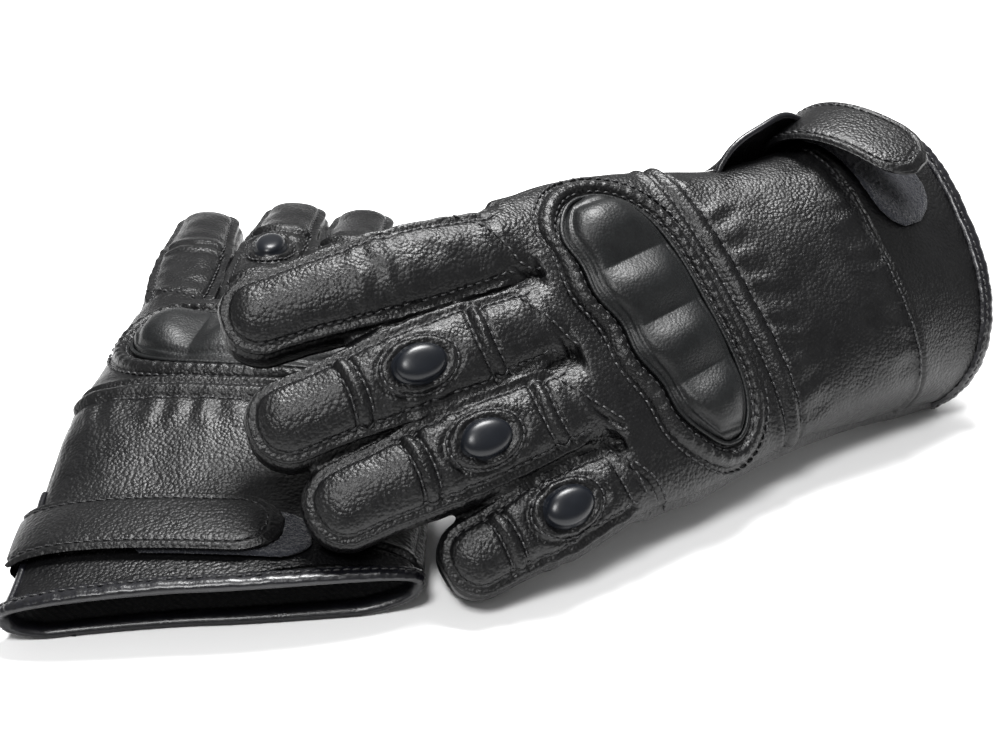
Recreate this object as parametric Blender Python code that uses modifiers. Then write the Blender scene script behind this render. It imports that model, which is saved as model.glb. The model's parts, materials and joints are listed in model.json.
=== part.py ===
"""A pair of short leather riding gloves, the left one leaning on the right one, which lies palm down.

Each glove is built in its own frame, in millimetres: x towards the thumb side, y from the cuff mouth to the
fingertips, z out of the back of the hand, with the origin in the middle of the mouth. Empties place the gloves
and carry the joints: each knuckle and each finger's middle joint has an empty on its axis.
"""
import math

import bpy
import bmesh
from mathutils import Matrix, Vector

MM = 0.001

# Overall sizes of one glove, mm
OPEN_CUFF_HALF_WIDTH = 54.0
FLAT_CUFF_HALF_WIDTH = 62.0
OPEN_WRIST_HALF_WIDTH = 50.5
FLAT_WRIST_HALF_WIDTH = 62.0
WRIST_AT = 66.0
KNUCKLE_HALF_WIDTH = 57.5
KNUCKLE_AT = 135.0
HAND_LENGTH = 160.0
LITTLE_SETBACK = 7.0
OPEN_CUFF_HEIGHT = 33.0
FLAT_CUFF_HEIGHT = 10.5
BACK_HEIGHT = 13.0
FULL_PALM_DEPTH = 19.0
FLAT_PALM_DEPTH = 12.5
PALM_DEPTH = 9.5
SECTION_POWER = 2.4

# Leather, lining and trim thicknesses, mm
LEATHER = 1.3
LINING = 0.9
LINING_INSET = 2.6
GUSSET_INSET = 1.2
SKIN_GAP = 0.35
PANEL_GAP = 1.1
EDGE_GAP_DEG = 3.4

# Seams of the back, measured along the glove, mm
CUFF_SEAM_AT = 37.0
WRIST_SEAM_AT = 100.0
BINDING_WIDTH = 4.5
BINDING_THICK = 3.2
VENT_LENGTH = 62.0
VENT_HALF_DEG = 15.0

# Knuckle guard, mm: a leather-covered moulding with four knuckle lobes
GUARD_RADIAL_END = 48.0
GUARD_ULNAR_END = -43.0
GUARD_RADIAL_AT = 131.0
GUARD_ULNAR_AT = 117.0
GUARD_RADIAL_HALF = 18.0
GUARD_ULNAR_HALF = 11.0
GUARD_RIM_HEIGHT = 3.2
GUARD_LOBE_HEIGHT = 5.0
GUARD_SHELL = 1.4
GUARD_LOBES = 4
SURROUND_WIDTH = 5.5
SURROUND_THICK = 2.6

# Fingers, mm: half width, half thickness, length from knuckle to middle joint, and from there to the tip's
# centre, place across the hand, and the angle that the finger spreads, in degrees
FINGERS = {
    "index": dict(half_width=13.6, half_thick=10.4, base=48.0, tip=37.5, across=41.0, spread=3.8),
    "middle": dict(half_width=13.8, half_thick=10.6, base=54.0, tip=37.0, across=12.9, spread=-1.2),
    "ring": dict(half_width=13.4, half_thick=10.4, base=48.5, tip=36.0, across=-15.1, spread=-2.4),
    "little": dict(half_width=12.3, half_thick=9.6, base=33.0, tip=24.0, across=-41.7, spread=-6.5),
}
SLEEVE_WALL = 1.6
SLEEVE_GAP = 0.6
KNUCKLE_GAP = 2.2
FINGER_SINK = 1.2

# Hard knuckle domes on three fingers, mm
DOME_FINGERS = ("middle", "ring", "little")
DOME_HALF_LENGTH = 9.5
DOME_HALF_WIDTH = 6.6
DOME_HEIGHT = 4.2
DOME_FROM_JOINT = 13.0

# Thumb, folded flat under the palm, mm
THUMB_HALF_WIDTH = 14.5
THUMB_HALF_THICK = 4.9
THUMB_LENGTH = 62.0
THUMB_ROOT = (31.0, 72.0)
THUMB_TURN_DEG = 6.0
THUMB_MOUTH_DEG = 62.0
THUMB_HOLE_HALF = 12.0
THUMB_CLEAR = 1.3

# Wrist strap with its hook pad, and the loop pad on the cuff, mm
STRAP_WIDTH = 27.0
STRAP_THICK = 1.7
STRAP_AT = 30.0
STRAP_LIFT = 2.6
PAD_THICK = 0.8
LOOP_LENGTH = 52.0
LOOP_WIDTH = 22.0
HOOK_LENGTH = 30.0
HOOK_FROM_TIP = 5.0

# Palm reinforcement, mm
PATCH_HALF_WIDTH = 24.0
PATCH_ACROSS = -22.0
PATCH_START = 66.0
PATCH_LENGTH = 62.0
PATCH_THICK = 1.2

# How each glove lies: heading, pitch and roll in degrees, and the place of its mouth's centre, mm. The mouth's
# edge has a slant across the hand, a setback of its corners and a reach beyond the origin; the palm's lip is
# shorter than the back. The strap's length is what comes out of the vent, and patch is where the loop pad starts
# round the cuff and how far it is from the mouth.
FLOOR_Z = -15.0
GLOVES = {
    "left": dict(side=1, heading=125.8, pitch=2.4, roll=-44.3, at=(143.0, 102.5), cuff=OPEN_CUFF_HEIGHT,
                 cuff_width=OPEN_CUFF_HALF_WIDTH, wrist_width=OPEN_WRIST_HALF_WIDTH, palm=FULL_PALM_DEPTH,
                 knuckle_flex=10.0, middle_flex=12.0, strap_open=19.0, strap_turn=19.0, waist=0.0,
                 mouth=(15.0, 12.0, 21.0), lip=0.0, strap_length=72.0, patch=(12.0, 10.0)),
    "right": dict(side=-1, heading=-3.2, pitch=0.0, roll=0.0, at=(-91.5, -68.0), cuff=FLAT_CUFF_HEIGHT,
                  cuff_width=FLAT_CUFF_HALF_WIDTH, wrist_width=FLAT_WRIST_HALF_WIDTH, palm=FLAT_PALM_DEPTH,
                  knuckle_flex=1.5, middle_flex=4.0, strap_open=0.0, strap_turn=0.0, waist=-4.0,
                  mouth=(26.0, 4.0, 10.0), lip=8.0, strap_length=90.0, patch=(44.0, 28.0)),
}

BLACK_LEATHER = ("black_leather", (0.012, 0.012, 0.013), 0.5)
SMOOTH_LEATHER = ("smooth_leather", (0.014, 0.015, 0.016), 0.36)
BINDING_LEATHER = ("binding_leather", (0.010, 0.010, 0.014), 0.3)
LINING_CLOTH = ("lining_cloth", (0.010, 0.010, 0.012), 0.9)
FOAM = ("foam", (0.03, 0.03, 0.03), 0.95)
HARD_DOME = ("hard_dome", (0.012, 0.014, 0.020), 0.3)
LOOP_PILE = ("loop_pile", (0.012, 0.012, 0.018), 0.95)


def start_scene():
    """Clears the scene and returns the collection for the gloves."""
    for old in list(bpy.data.objects):
        bpy.data.objects.remove(old)
    collection = bpy.data.collections.new("riding_gloves")
    bpy.context.scene.collection.children.link(collection)
    return collection


def material(finish):
    """One Principled material for each kind of leather, cloth or plastic."""
    name, colour, roughness = finish
    found = bpy.data.materials.get(name)
    if found:
        return found
    made = bpy.data.materials.new(name)
    made.use_nodes = True
    shader = made.node_tree.nodes["Principled BSDF"]
    shader.inputs["Base Color"].default_value = (*colour, 1.0)
    shader.inputs["Roughness"].default_value = roughness
    shader.inputs["Metallic"].default_value = 0.0
    return made


def smooth_step(t):
    t = min(1.0, max(0.0, t))
    return t * t * (3.0 - 2.0 * t)


def between(stations, y):
    """Smoothly reads a list of (y, value) stations."""
    if y <= stations[0][0]:
        return stations[0][1]
    for (y0, v0), (y1, v1) in zip(stations, stations[1:]):
        if y <= y1:
            return v0 + (v1 - v0) * smooth_step((y - y0) / (y1 - y0))
    return stations[-1][1]


class Hand:
    """The hollow hand of one glove: its width, back height, palm depth and waist height along y."""

    def __init__(self, name):
        pose = GLOVES[name]
        self.name = name
        self.side = pose["side"]
        self.pose = pose
        waist = pose["waist"]
        self.widths = [(0.0, pose["cuff_width"]), (WRIST_AT, pose["wrist_width"]), (KNUCKLE_AT, KNUCKLE_HALF_WIDTH),
                       (HAND_LENGTH, KNUCKLE_HALF_WIDTH - 1.5)]
        self.backs = [(0.0, pose["cuff"]), (CUFF_SEAM_AT, pose["cuff"]), (WRIST_SEAM_AT, BACK_HEIGHT + 2.0),
                      (KNUCKLE_AT, BACK_HEIGHT), (HAND_LENGTH, BACK_HEIGHT - 0.5)]
        self.palms = [(0.0, pose["palm"]), (CUFF_SEAM_AT, pose["palm"]), (KNUCKLE_AT, PALM_DEPTH)]
        self.waists = [(0.0, waist - 2.0), (CUFF_SEAM_AT, waist), (WRIST_SEAM_AT, 6.5), (HAND_LENGTH, 8.5)]

    def end_at(self, x):
        """Where the hand ends and the fingers start; the little finger starts lower."""
        return HAND_LENGTH - LITTLE_SETBACK * smooth_step((-22.0 - x) / 28.0)

    def mouth(self, degrees):
        """The cuff's edge: it slants back to the little-finger side, and both corners are cut back."""
        angle = math.radians(degrees)
        slant, setback, reach = self.pose["mouth"]
        if angle < 0.0 or angle > math.pi:
            reach -= self.pose["lip"] * abs(math.sin(angle))
        return slant * (1.0 - math.cos(angle)) / 2.0 + setback * (1.0 - abs(math.sin(angle))) - reach

    def point(self, y, degrees, lift=0.0):
        """A point of the hand's skin: 0 degrees is the thumb edge, 90 the back, -90 the palm."""
        angle = math.radians(degrees)
        c, s = math.cos(angle), math.sin(angle)
        a = between(self.widths, y) + lift
        b = (between(self.backs, y) if s > 0 else between(self.palms, y)) + lift
        power = 2.0 / SECTION_POWER
        x = a * math.copysign(abs(c) ** power, c)
        z = between(self.waists, y) + b * math.copysign(abs(s) ** power, s)
        floor = FLOOR_Z - min(lift, 0.0)
        return Vector((x, y, max(z, floor)))

    def back_height(self, x, y):
        a = between(self.widths, y)
        rise = max(0.0, 1.0 - abs(x / a) ** SECTION_POWER) ** (1.0 / SECTION_POWER)
        return between(self.waists, y) + between(self.backs, y) * rise

    def back_at(self, x, y, lift=0.0):
        """The point of the back above (x, y), lifted square to the skin."""
        step = 0.5
        z = self.back_height(x, y)
        slope_x = (self.back_height(x + step, y) - self.back_height(x - step, y)) / (2.0 * step)
        slope_y = (self.back_height(x, y + step) - self.back_height(x, y - step)) / (2.0 * step)
        return Vector((x, y, z)) + Vector((-slope_x, -slope_y, 1.0)).normalized() * lift

    def palm_at(self, x, y, drop=0.0):
        a = between(self.widths, y)
        fall = max(0.0, 1.0 - abs(x / a) ** SECTION_POWER) ** (1.0 / SECTION_POWER)
        z = between(self.waists, y) - between(self.palms, y) * fall
        return Vector((x, y, max(z, FLOOR_Z) - drop))

    def arc(self, y, lift, steps=90):
        """The section over the back as a list of (length from the thumb edge, point)."""
        out = []
        length = 0.0
        last = None
        for i in range(steps + 1):
            p = self.point(y, 180.0 * i / steps, lift)
            if last is not None:
                length += (p - last).length
            out.append((length, p))
            last = p
        return out


def arc_point(arc, length):
    """The point at a given length along a section."""
    for (l0, p0), (l1, p1) in zip(arc, arc[1:]):
        if length <= l1:
            return p0.lerp(p1, (length - l0) / max(l1 - l0, 1e-6))
    return arc[-1][1]


def add_object(name, mesh, finish, parent, collection):
    made = bpy.data.objects.new(name, mesh)
    mesh.materials.append(material(finish))
    collection.objects.link(made)
    made.parent = parent
    return made


def thumb_hole_centre(hand):
    """The middle of the hole in the palm that the slanted thumb mouth opens into."""
    x, y = THUMB_ROOT
    return hand.palm_at(x, y + THUMB_HALF_THICK * math.tan(math.radians(THUMB_MOUTH_DEG)))


def grid_mesh(name, rows, side, ring=False, cap=False, hole=None):
    """A mesh from rows of points; ring closes each row on itself, cap closes the last row, hole is left open."""
    mesh = bmesh.new()
    grid = [[mesh.verts.new((p[0] * side * MM, p[1] * MM, p[2] * MM)) for p in row] for row in rows]
    for lower, upper in zip(grid, grid[1:]):
        count = len(lower)
        for i in range(count if ring else count - 1):
            j = (i + 1) % count
            face = [lower[i], lower[j], upper[j], upper[i]]
            if hole is not None:
                middle = sum((v.co for v in face), Vector()) / len(face) / MM
                if (middle - Vector((hole.x * side, hole.y, hole.z))).length < THUMB_HOLE_HALF:
                    continue
            mesh.faces.new(face if side > 0 else face[::-1])
    if cap:
        mesh.faces.new(grid[-1] if side > 0 else grid[-1][::-1])
    out = bpy.data.meshes.new(name)
    mesh.to_mesh(out)
    mesh.free()
    out.shade_smooth()
    return out


def sheet(name, rows, thick, finish, hand, parent, collection, outward=False, ring=False, cap=False, hole=None):
    """An open surface of leather given its thickness by Solidify, inward or outward."""
    made = add_object(name, grid_mesh(name, rows, hand.side, ring, cap, hole), finish, parent, collection)
    solid = made.modifiers.new("thickness", "SOLIDIFY")
    solid.thickness = thick * MM
    solid.offset = 1.0 if outward else -1.0
    return made


def flip(rows):
    """Reverses each row, which turns a sheet's outer side over."""
    return [row[::-1] for row in rows]


def spread(low, high, count):
    return [low + (high - low) * i / (count - 1) for i in range(count)]


def skin_rows(hand, y_from, y_to, deg_from, deg_to, rows, columns, lift=0.0, follow_fingers=False,
              follow_mouth=False):
    """Rows of points on the hand's skin between two seams, which may follow the mouth or the finger line."""
    out = []
    for v in spread(0.0, 1.0, rows):
        row = []
        for degrees in spread(deg_from, deg_to, columns):
            start = y_from + (hand.mouth(degrees) if follow_mouth else 0.0)
            end = y_to
            if follow_fingers:
                end = hand.end_at(hand.point(y_to, degrees).x)
            row.append(hand.point(start + (end - start) * v, degrees, lift))
        out.append(row)
    return flip(out)


def add_hand_shell(hand, root, collection):
    """The sewn leather panels of the back and palm, the vent gusset and the lining."""
    edge = EDGE_GAP_DEG
    vent = VENT_HALF_DEG
    start = BINDING_WIDTH + PANEL_GAP
    vent_end = start + VENT_LENGTH
    cuff_end = CUFF_SEAM_AT - PANEL_GAP / 2
    wrist_end = WRIST_SEAM_AT - PANEL_GAP / 2
    name = hand.name
    bands = (
        ("cuff_band", start, cuff_end, vent, 4, False),
        ("wrist_panel", CUFF_SEAM_AT + PANEL_GAP / 2, wrist_end, vent, 5, False),
        ("back_panel", WRIST_SEAM_AT + PANEL_GAP / 2, HAND_LENGTH, edge, 5, True),
    )
    for part, low, high, first, rows, follow in bands:
        points = skin_rows(hand, low, high, first, 180.0 - edge, rows, 14, follow_fingers=follow,
                           follow_mouth=low == start)
        sheet(f"{name}_{part}", points, LEATHER, BLACK_LEATHER, hand, root, collection)
    hole = thumb_hole_centre(hand)
    palm = skin_rows(hand, start, HAND_LENGTH, -180.0 + edge, -edge, 12, 15, follow_fingers=True,
                     follow_mouth=True)
    for row in palm:
        if row[0].y < vent_end:
            row[0] = hand.point(row[0].y, -vent)
    sheet(f"{name}_palm_panel", palm, LEATHER, BLACK_LEATHER, hand, root, collection, hole=hole)
    inset = -LEATHER - GUSSET_INSET
    gusset = skin_rows(hand, start, vent_end, -vent - 4.0, vent + 4.0, 4, 5, lift=inset, follow_mouth=True)
    sheet(f"{name}_gusset", gusset, LINING * 0.5, LINING_CLOTH, hand, root, collection)
    lining_rows = []
    lining_end = HAND_LENGTH - LITTLE_SETBACK - 3.0
    for v in spread(0.0, 1.0, 13):
        row = []
        for d in range(0, 360, 15):
            low = start + hand.mouth(d)
            row.append(hand.point(low + (lining_end - low) * v, d, -LEATHER - LINING_INSET))
        lining_rows.append(row)
    sheet(f"{name}_lining", flip(lining_rows), LINING, LINING_CLOTH, hand, root, collection, ring=True, hole=hole)


def add_binding(hand, root, collection):
    """The rolled leather binding round the cuff's mouth."""
    rows = []
    inner = -LEATHER
    outer = BINDING_THICK - LEATHER - 0.6
    profile = [(BINDING_WIDTH, inner - 0.4), (0.0, inner - 0.4), (-0.9, 0.0), (0.0, outer), (BINDING_WIDTH, outer)]
    for y, lift in profile:
        rows.append([hand.point(y + hand.mouth(d), d, lift) for d in range(0, 360, 15)])
    mesh = bmesh.new()
    grid = [[mesh.verts.new((p.x * hand.side * MM, p.y * MM, p.z * MM)) for p in row] for row in rows]
    for k, row in enumerate(grid):
        after = grid[(k + 1) % len(grid)]
        for i in range(len(row)):
            j = (i + 1) % len(row)
            mesh.faces.new([row[i], row[j], after[j], after[i]])
    bmesh.ops.recalc_face_normals(mesh, faces=mesh.faces)
    out = bpy.data.meshes.new(f"{hand.name}_cuff_binding")
    mesh.to_mesh(out)
    mesh.free()
    add_object(f"{hand.name}_cuff_binding", out, BINDING_LEATHER, root, collection)


def guard_edges(u, grow=0.0):
    """The guard's (x, near y, far y) at u, from 0 at its thumb end to 1 at its little-finger end."""
    x = GUARD_RADIAL_END + grow + (GUARD_ULNAR_END - GUARD_RADIAL_END - 2.0 * grow) * u
    middle = GUARD_RADIAL_AT + (GUARD_ULNAR_AT - GUARD_RADIAL_AT) * u
    half = GUARD_RADIAL_HALF + (GUARD_ULNAR_HALF - GUARD_RADIAL_HALF) * u + grow
    taper = max(0.0, 1.0 - abs(2.0 * u - 1.0) ** 5.0) ** 0.5
    return x, middle - half * taper, middle + half * taper


def guard_outline(grow, count):
    """The closed outline of the guard, grown outward, as (x, y) points."""
    out = []
    for k in range(count):
        angle = 2.0 * math.pi * k / count
        u = 0.5 - 0.5 * math.cos(angle)
        u = min(0.995, max(0.005, u))
        x, near, far = guard_edges(u, grow)
        out.append((x, far if math.sin(angle) >= 0 else near))
    return out


def guard_height(u, v):
    """The moulding's height above the glove: a rim, with a round lobe over each knuckle."""
    lobes = 0.62 + 0.38 * math.cos(2.0 * math.pi * (GUARD_LOBES * u - 0.5))
    across = math.sin(math.pi * v) ** 0.6 if 0.0 < v < 1.0 else 0.0
    along = math.sin(math.pi * u) ** 0.4 if 0.0 < u < 1.0 else 0.0
    return GUARD_RIM_HEIGHT * 0.5 + (GUARD_RIM_HEIGHT * 0.5 + GUARD_LOBE_HEIGHT * lobes) * across * along


def guard_rows(hand, grow, lift, columns, rows):
    out = []
    for v in spread(0.0, 1.0, rows):
        row = []
        for u in spread(0.02, 0.98, columns):
            x, near, far = guard_edges(u, grow)
            row.append(hand.back_at(x, near + (far - near) * v, lift(u, v)))
        out.append(row)
    return flip(out)


def add_guard(hand, root, collection):
    """The moulded knuckle guard, the foam that fills it, and the padded leather frame round it."""
    name = hand.name
    base = SKIN_GAP + 0.35

    def shell_lift(u, v):
        return base + GUARD_SHELL + guard_height(u, v)

    sheet(f"{name}_knuckle_guard", guard_rows(hand, 0.0, shell_lift, 17, 7), GUARD_SHELL, SMOOTH_LEATHER,
          hand, root, collection)
    rows = []
    grow = -GUARD_SHELL - 0.6
    top = guard_rows(hand, grow, lambda u, v: base + 0.75 * guard_height(u, v), 11, 5)
    bottom = guard_rows(hand, grow, lambda u, v: base, 11, 5)
    for lower, upper in zip(bottom, top):
        rows.append(upper + lower[::-1])
    mesh = grid_mesh(f"{name}_knuckle_foam", rows, hand.side, ring=True, cap=True)
    closed = bmesh.new()
    closed.from_mesh(mesh)
    bmesh.ops.holes_fill(closed, edges=closed.edges)
    bmesh.ops.recalc_face_normals(closed, faces=closed.faces)
    closed.to_mesh(mesh)
    closed.free()
    add_object(f"{name}_knuckle_foam", mesh, FOAM, root, collection)
    inner = guard_outline(0.8, 28)
    outer = guard_outline(0.8 + SURROUND_WIDTH, 28)
    frame = []
    for mix, rise in ((0.0, 0.0), (0.5, SURROUND_THICK * 0.45), (1.0, 0.0)):
        row = []
        for (xi, yi), (xo, yo) in zip(inner, outer):
            row.append(hand.back_at(xi + (xo - xi) * mix, yi + (yo - yi) * mix, base + rise))
        frame.append(row)
    sheet(f"{name}_guard_surround", flip(frame), SURROUND_THICK * 0.6, BLACK_LEATHER, hand, root, collection,
          outward=True, ring=True)


def add_pad(name, hand, parent, collection, start, length, width, at, lift, thick, finish, frame=None):
    """A sheet wrapped over the back of the cuff with a rounded far end; frame moves it to a joint."""
    rows = []
    for s in spread(0.0, 1.0, 8):
        row = []
        along = start + length * s
        reach = start + length - along
        round_off = math.sqrt(max(0.0, 1.0 - max(0.0, 1.0 - reach / (width * 0.5)) ** 2))
        half = width * 0.5 * max(0.35, round_off)
        for y in spread(at - half, at + half, 4):
            p = arc_point(hand.arc(y, lift), along)
            row.append(p)
        rows.append(row)
    if frame:
        for row in rows:
            for i, p in enumerate(row):
                row[i] = frame(p)
    return sheet(name, rows, thick, finish, hand, parent, collection)


def add_strap(hand, root, collection):
    """The wrist strap on its fold line at the thumb edge, its hook pad, and the loop pad on the cuff."""
    name = hand.name
    length = hand.pose["strap_length"]
    patch_start, patch_at = hand.pose["patch"]
    add_pad(f"{name}_loop_patch", hand, root, collection, patch_start, LOOP_LENGTH, LOOP_WIDTH, patch_at,
            SKIN_GAP + PAD_THICK, PAD_THICK, LOOP_PILE)
    fold = hand.point(STRAP_AT, 4.0, STRAP_LIFT + 0.6)
    joint = bpy.data.objects.new(f"{name}_strap_fold", None)
    collection.objects.link(joint)
    joint.parent = root
    joint.location = Vector((fold.x * hand.side, fold.y, fold.z)) * MM
    open_by = math.radians(hand.pose["strap_open"]) * hand.side
    turn_by = math.radians(hand.pose["strap_turn"]) * hand.side
    joint.rotation_euler = (Matrix.Rotation(turn_by, 3, "Z") @ Matrix.Rotation(open_by, 3, "Y")).to_euler()

    def to_fold(p):
        return p - fold

    add_pad(f"{name}_strap", hand, joint, collection, 5.0, length - 5.0, STRAP_WIDTH, STRAP_AT,
            STRAP_LIFT + STRAP_THICK, STRAP_THICK, BLACK_LEATHER, to_fold)
    add_pad(f"{name}_hook_patch", hand, joint, collection, length - HOOK_FROM_TIP - HOOK_LENGTH,
            HOOK_LENGTH, LOOP_WIDTH - 2.0, STRAP_AT, STRAP_LIFT - SKIN_GAP, PAD_THICK, LOOP_PILE, to_fold)


def add_palm_patch(hand, root, collection):
    """The second layer of leather over the heel of the hand."""
    rows = []
    for y in spread(PATCH_START, PATCH_START + PATCH_LENGTH, 5):
        rows.append([hand.palm_at(x, y, 2.0 * SKIN_GAP)
                     for x in spread(PATCH_ACROSS - PATCH_HALF_WIDTH, PATCH_ACROSS + PATCH_HALF_WIDTH, 6)])
    sheet(f"{hand.name}_palm_patch", flip(rows), PATCH_THICK, BLACK_LEATHER, hand, root, collection, outward=True)


def sleeve_ring(half_width, half_thick, y, shear_deg, scale=1.0, drop=0.0, count=12):
    """One ring of a finger sleeve, hung below the joint line, with its lower side moved forward."""
    ring = []
    power = 2.0 / SECTION_POWER
    for k in range(count):
        angle = 2.0 * math.pi * (k + 0.5) / count
        c, s = math.cos(angle), math.sin(angle)
        x = half_width * scale * math.copysign(abs(c) ** power, c)
        z = half_thick * scale * math.copysign(abs(s) ** power, s)
        depth = half_thick - z
        ring.append(Vector((x, y + depth * math.tan(math.radians(shear_deg)), z - half_thick - drop)))
    return ring


def tip_rows(half_width, half_thick, length, shear_deg):
    """Rings of a sleeve that closes in a round tip."""
    rows = [sleeve_ring(half_width, half_thick, 0.0, shear_deg)]
    for part, scale in ((0.62, 0.97), (0.9, 0.88)):
        rows.append(sleeve_ring(half_width, half_thick, length * part, 0.0, scale))
    for turn in (28.0, 55.0, 76.0):
        reach = math.sin(math.radians(turn)) * half_width * 0.85
        scale = 0.86 * math.cos(math.radians(turn))
        rows.append(sleeve_ring(half_width, half_thick, length + reach, 0.0, scale, 0.5))
    return rows


def add_dome(name, parent, y, collection):
    """The hard oval dome over a finger's middle knuckle."""
    mesh = bmesh.new()
    bmesh.ops.create_uvsphere(mesh, u_segments=16, v_segments=8, radius=1.0)
    bmesh.ops.scale(mesh, verts=mesh.verts, vec=(DOME_HALF_WIDTH * MM, DOME_HALF_LENGTH * MM, DOME_HEIGHT * MM))
    cut = bmesh.ops.bisect_plane(mesh, geom=mesh.verts[:] + mesh.edges[:] + mesh.faces[:],
                                 plane_co=(0.0, 0.0, 0.2 * MM), plane_no=(0.0, 0.0, 1.0), clear_inner=True)
    rim = [g for g in cut["geom_cut"] if isinstance(g, bmesh.types.BMEdge)]
    bmesh.ops.edgenet_fill(mesh, edges=rim)
    bmesh.ops.recalc_face_normals(mesh, faces=mesh.faces)
    out = bpy.data.meshes.new(name)
    mesh.to_mesh(out)
    mesh.free()
    out.shade_smooth()
    made = add_object(name, out, HARD_DOME, parent, collection)
    made.location = Vector((0.0, y, SKIN_GAP)) * MM


def joint_empty(name, parent, at, heading_deg, flex_deg, side, collection):
    """An empty on a joint's axis: x is the axis, and y runs along the finger."""
    made = bpy.data.objects.new(name, None)
    collection.objects.link(made)
    made.parent = parent
    made.location = Vector((at[0] * side, at[1], at[2])) * MM
    turn = Matrix.Rotation(math.radians(-heading_deg * side), 3, "Z")
    bend = Matrix.Rotation(math.radians(-flex_deg), 3, "X")
    made.rotation_euler = (turn @ bend).to_euler()
    return made


def add_fingers(hand, root, collection):
    """Four fingers: each has a base sleeve and a closed tip sleeve, hinged along the back of the hand."""
    pose = hand.pose
    for finger, size in FINGERS.items():
        name = f"{hand.name}_{finger}"
        across = size["across"]
        start = hand.end_at(across - size["half_width"]) if across < 0 else hand.end_at(across)
        start = max(start, hand.end_at(across)) + KNUCKLE_GAP
        top = hand.back_at(across, HAND_LENGTH).z - FINGER_SINK
        knuckle = joint_empty(f"{name}_knuckle", root, (across, start, top), size["spread"],
                              pose["knuckle_flex"], hand.side, collection)
        rows = [sleeve_ring(size["half_width"], size["half_thick"], 0.0, pose["knuckle_flex"])]
        for part in (0.5, 1.0):
            rows.append(sleeve_ring(size["half_width"], size["half_thick"], size["base"] * part, 0.0))
        sheet(f"{name}_base", flip(rows), SLEEVE_WALL, BLACK_LEATHER, hand, knuckle, collection, ring=True)
        middle = joint_empty(f"{name}_middle_joint", knuckle, (0.0, size["base"] + SLEEVE_GAP, 0.0), 0.0,
                             pose["middle_flex"], hand.side, collection)
        rows = tip_rows(size["half_width"], size["half_thick"], size["tip"], pose["middle_flex"])
        sheet(f"{name}_tip", flip(rows), SLEEVE_WALL, BLACK_LEATHER, hand, middle, collection, ring=True, cap=True)
        if finger in DOME_FINGERS:
            add_dome(f"{name}_dome", knuckle, size["base"] - DOME_FROM_JOINT, collection)


def add_thumb(hand, root, collection):
    """The thumb, flattened under the palm, with its slanted mouth under a hole in the palm."""
    x, y = THUMB_ROOT
    reach = 2.0 * THUMB_HALF_THICK * math.tan(math.radians(THUMB_MOUTH_DEG))
    top = min(hand.palm_at(x, y + reach).z, hand.palm_at(x, y + THUMB_LENGTH).z) - THUMB_CLEAR
    base = joint_empty(f"{hand.name}_thumb_joint", root, (x, y, top), -THUMB_TURN_DEG, 0.0, hand.side, collection)
    rows = []
    ring = sleeve_ring(THUMB_HALF_WIDTH, THUMB_HALF_THICK, 0.0, 0.0)
    slope = math.tan(math.radians(THUMB_MOUTH_DEG))
    rows.append([Vector((p.x, reach + p.z * slope, p.z)) for p in ring])
    for part, scale in ((0.75, 1.0), (0.92, 0.92)):
        rows.append(sleeve_ring(THUMB_HALF_WIDTH, THUMB_HALF_THICK, THUMB_LENGTH * part, 0.0, scale))
    for turn in (35.0, 68.0):
        far = THUMB_LENGTH + math.sin(math.radians(turn)) * THUMB_HALF_WIDTH * 0.7
        scale = 0.9 * math.cos(math.radians(turn))
        rows.append(sleeve_ring(THUMB_HALF_WIDTH, THUMB_HALF_THICK, far, 0.0, scale))
    sheet(f"{hand.name}_thumb", flip(rows), SLEEVE_WALL, BLACK_LEATHER, hand, base, collection, ring=True, cap=True)


def glove_root(hand, collection):
    """The empty that carries one glove; its pose leans or lays the glove down."""
    pose = hand.pose
    made = bpy.data.objects.new(f"{hand.name}_glove", None)
    collection.objects.link(made)
    made.location = Vector((*pose["at"], 0.0)) * MM
    turn = Matrix.Rotation(math.radians(pose["heading"]), 3, "Z")
    tilt = Matrix.Rotation(math.radians(pose["pitch"]), 3, "X")
    roll = Matrix.Rotation(math.radians(pose["roll"]), 3, "Y")
    made.rotation_euler = (turn @ tilt @ roll).to_euler()
    return made


def corners(objects):
    """The lowest and highest corner of some objects as they are built."""
    graph = bpy.context.evaluated_depsgraph_get()
    points = []
    for made in objects:
        if made.type == "MESH":
            shown = made.evaluated_get(graph)
            points += [shown.matrix_world @ v.co for v in shown.data.vertices]
    low = Vector([min(p[k] for p in points) for k in range(3)])
    high = Vector([max(p[k] for p in points) for k in range(3)])
    return low, high


def settle(roots, collection):
    """Stands each glove on the ground and centres the pair on the origin."""
    bpy.context.view_layer.update()
    for root in roots:
        low, high = corners(root.children_recursive)
        root.location.z -= low.z
    bpy.context.view_layer.update()
    low, high = corners(collection.objects)
    for root in roots:
        root.location.x -= (low.x + high.x) / 2.0
        root.location.y -= (low.y + high.y) / 2.0
    bpy.context.view_layer.update()


def build():
    collection = start_scene()
    roots = []
    for name in GLOVES:
        hand = Hand(name)
        root = glove_root(hand, collection)
        add_hand_shell(hand, root, collection)
        add_binding(hand, root, collection)
        add_guard(hand, root, collection)
        add_strap(hand, root, collection)
        add_palm_patch(hand, root, collection)
        add_fingers(hand, root, collection)
        add_thumb(hand, root, collection)
        roots.append(root)
    settle(roots, collection)


build()
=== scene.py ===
"""Blender scene of a pair of short leather riding gloves: the left one leans on the right one."""
import math
import json

import bpy
import numpy as np
from mathutils import Matrix, Vector, noise
from mathutils.bvhtree import BVHTree


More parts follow.
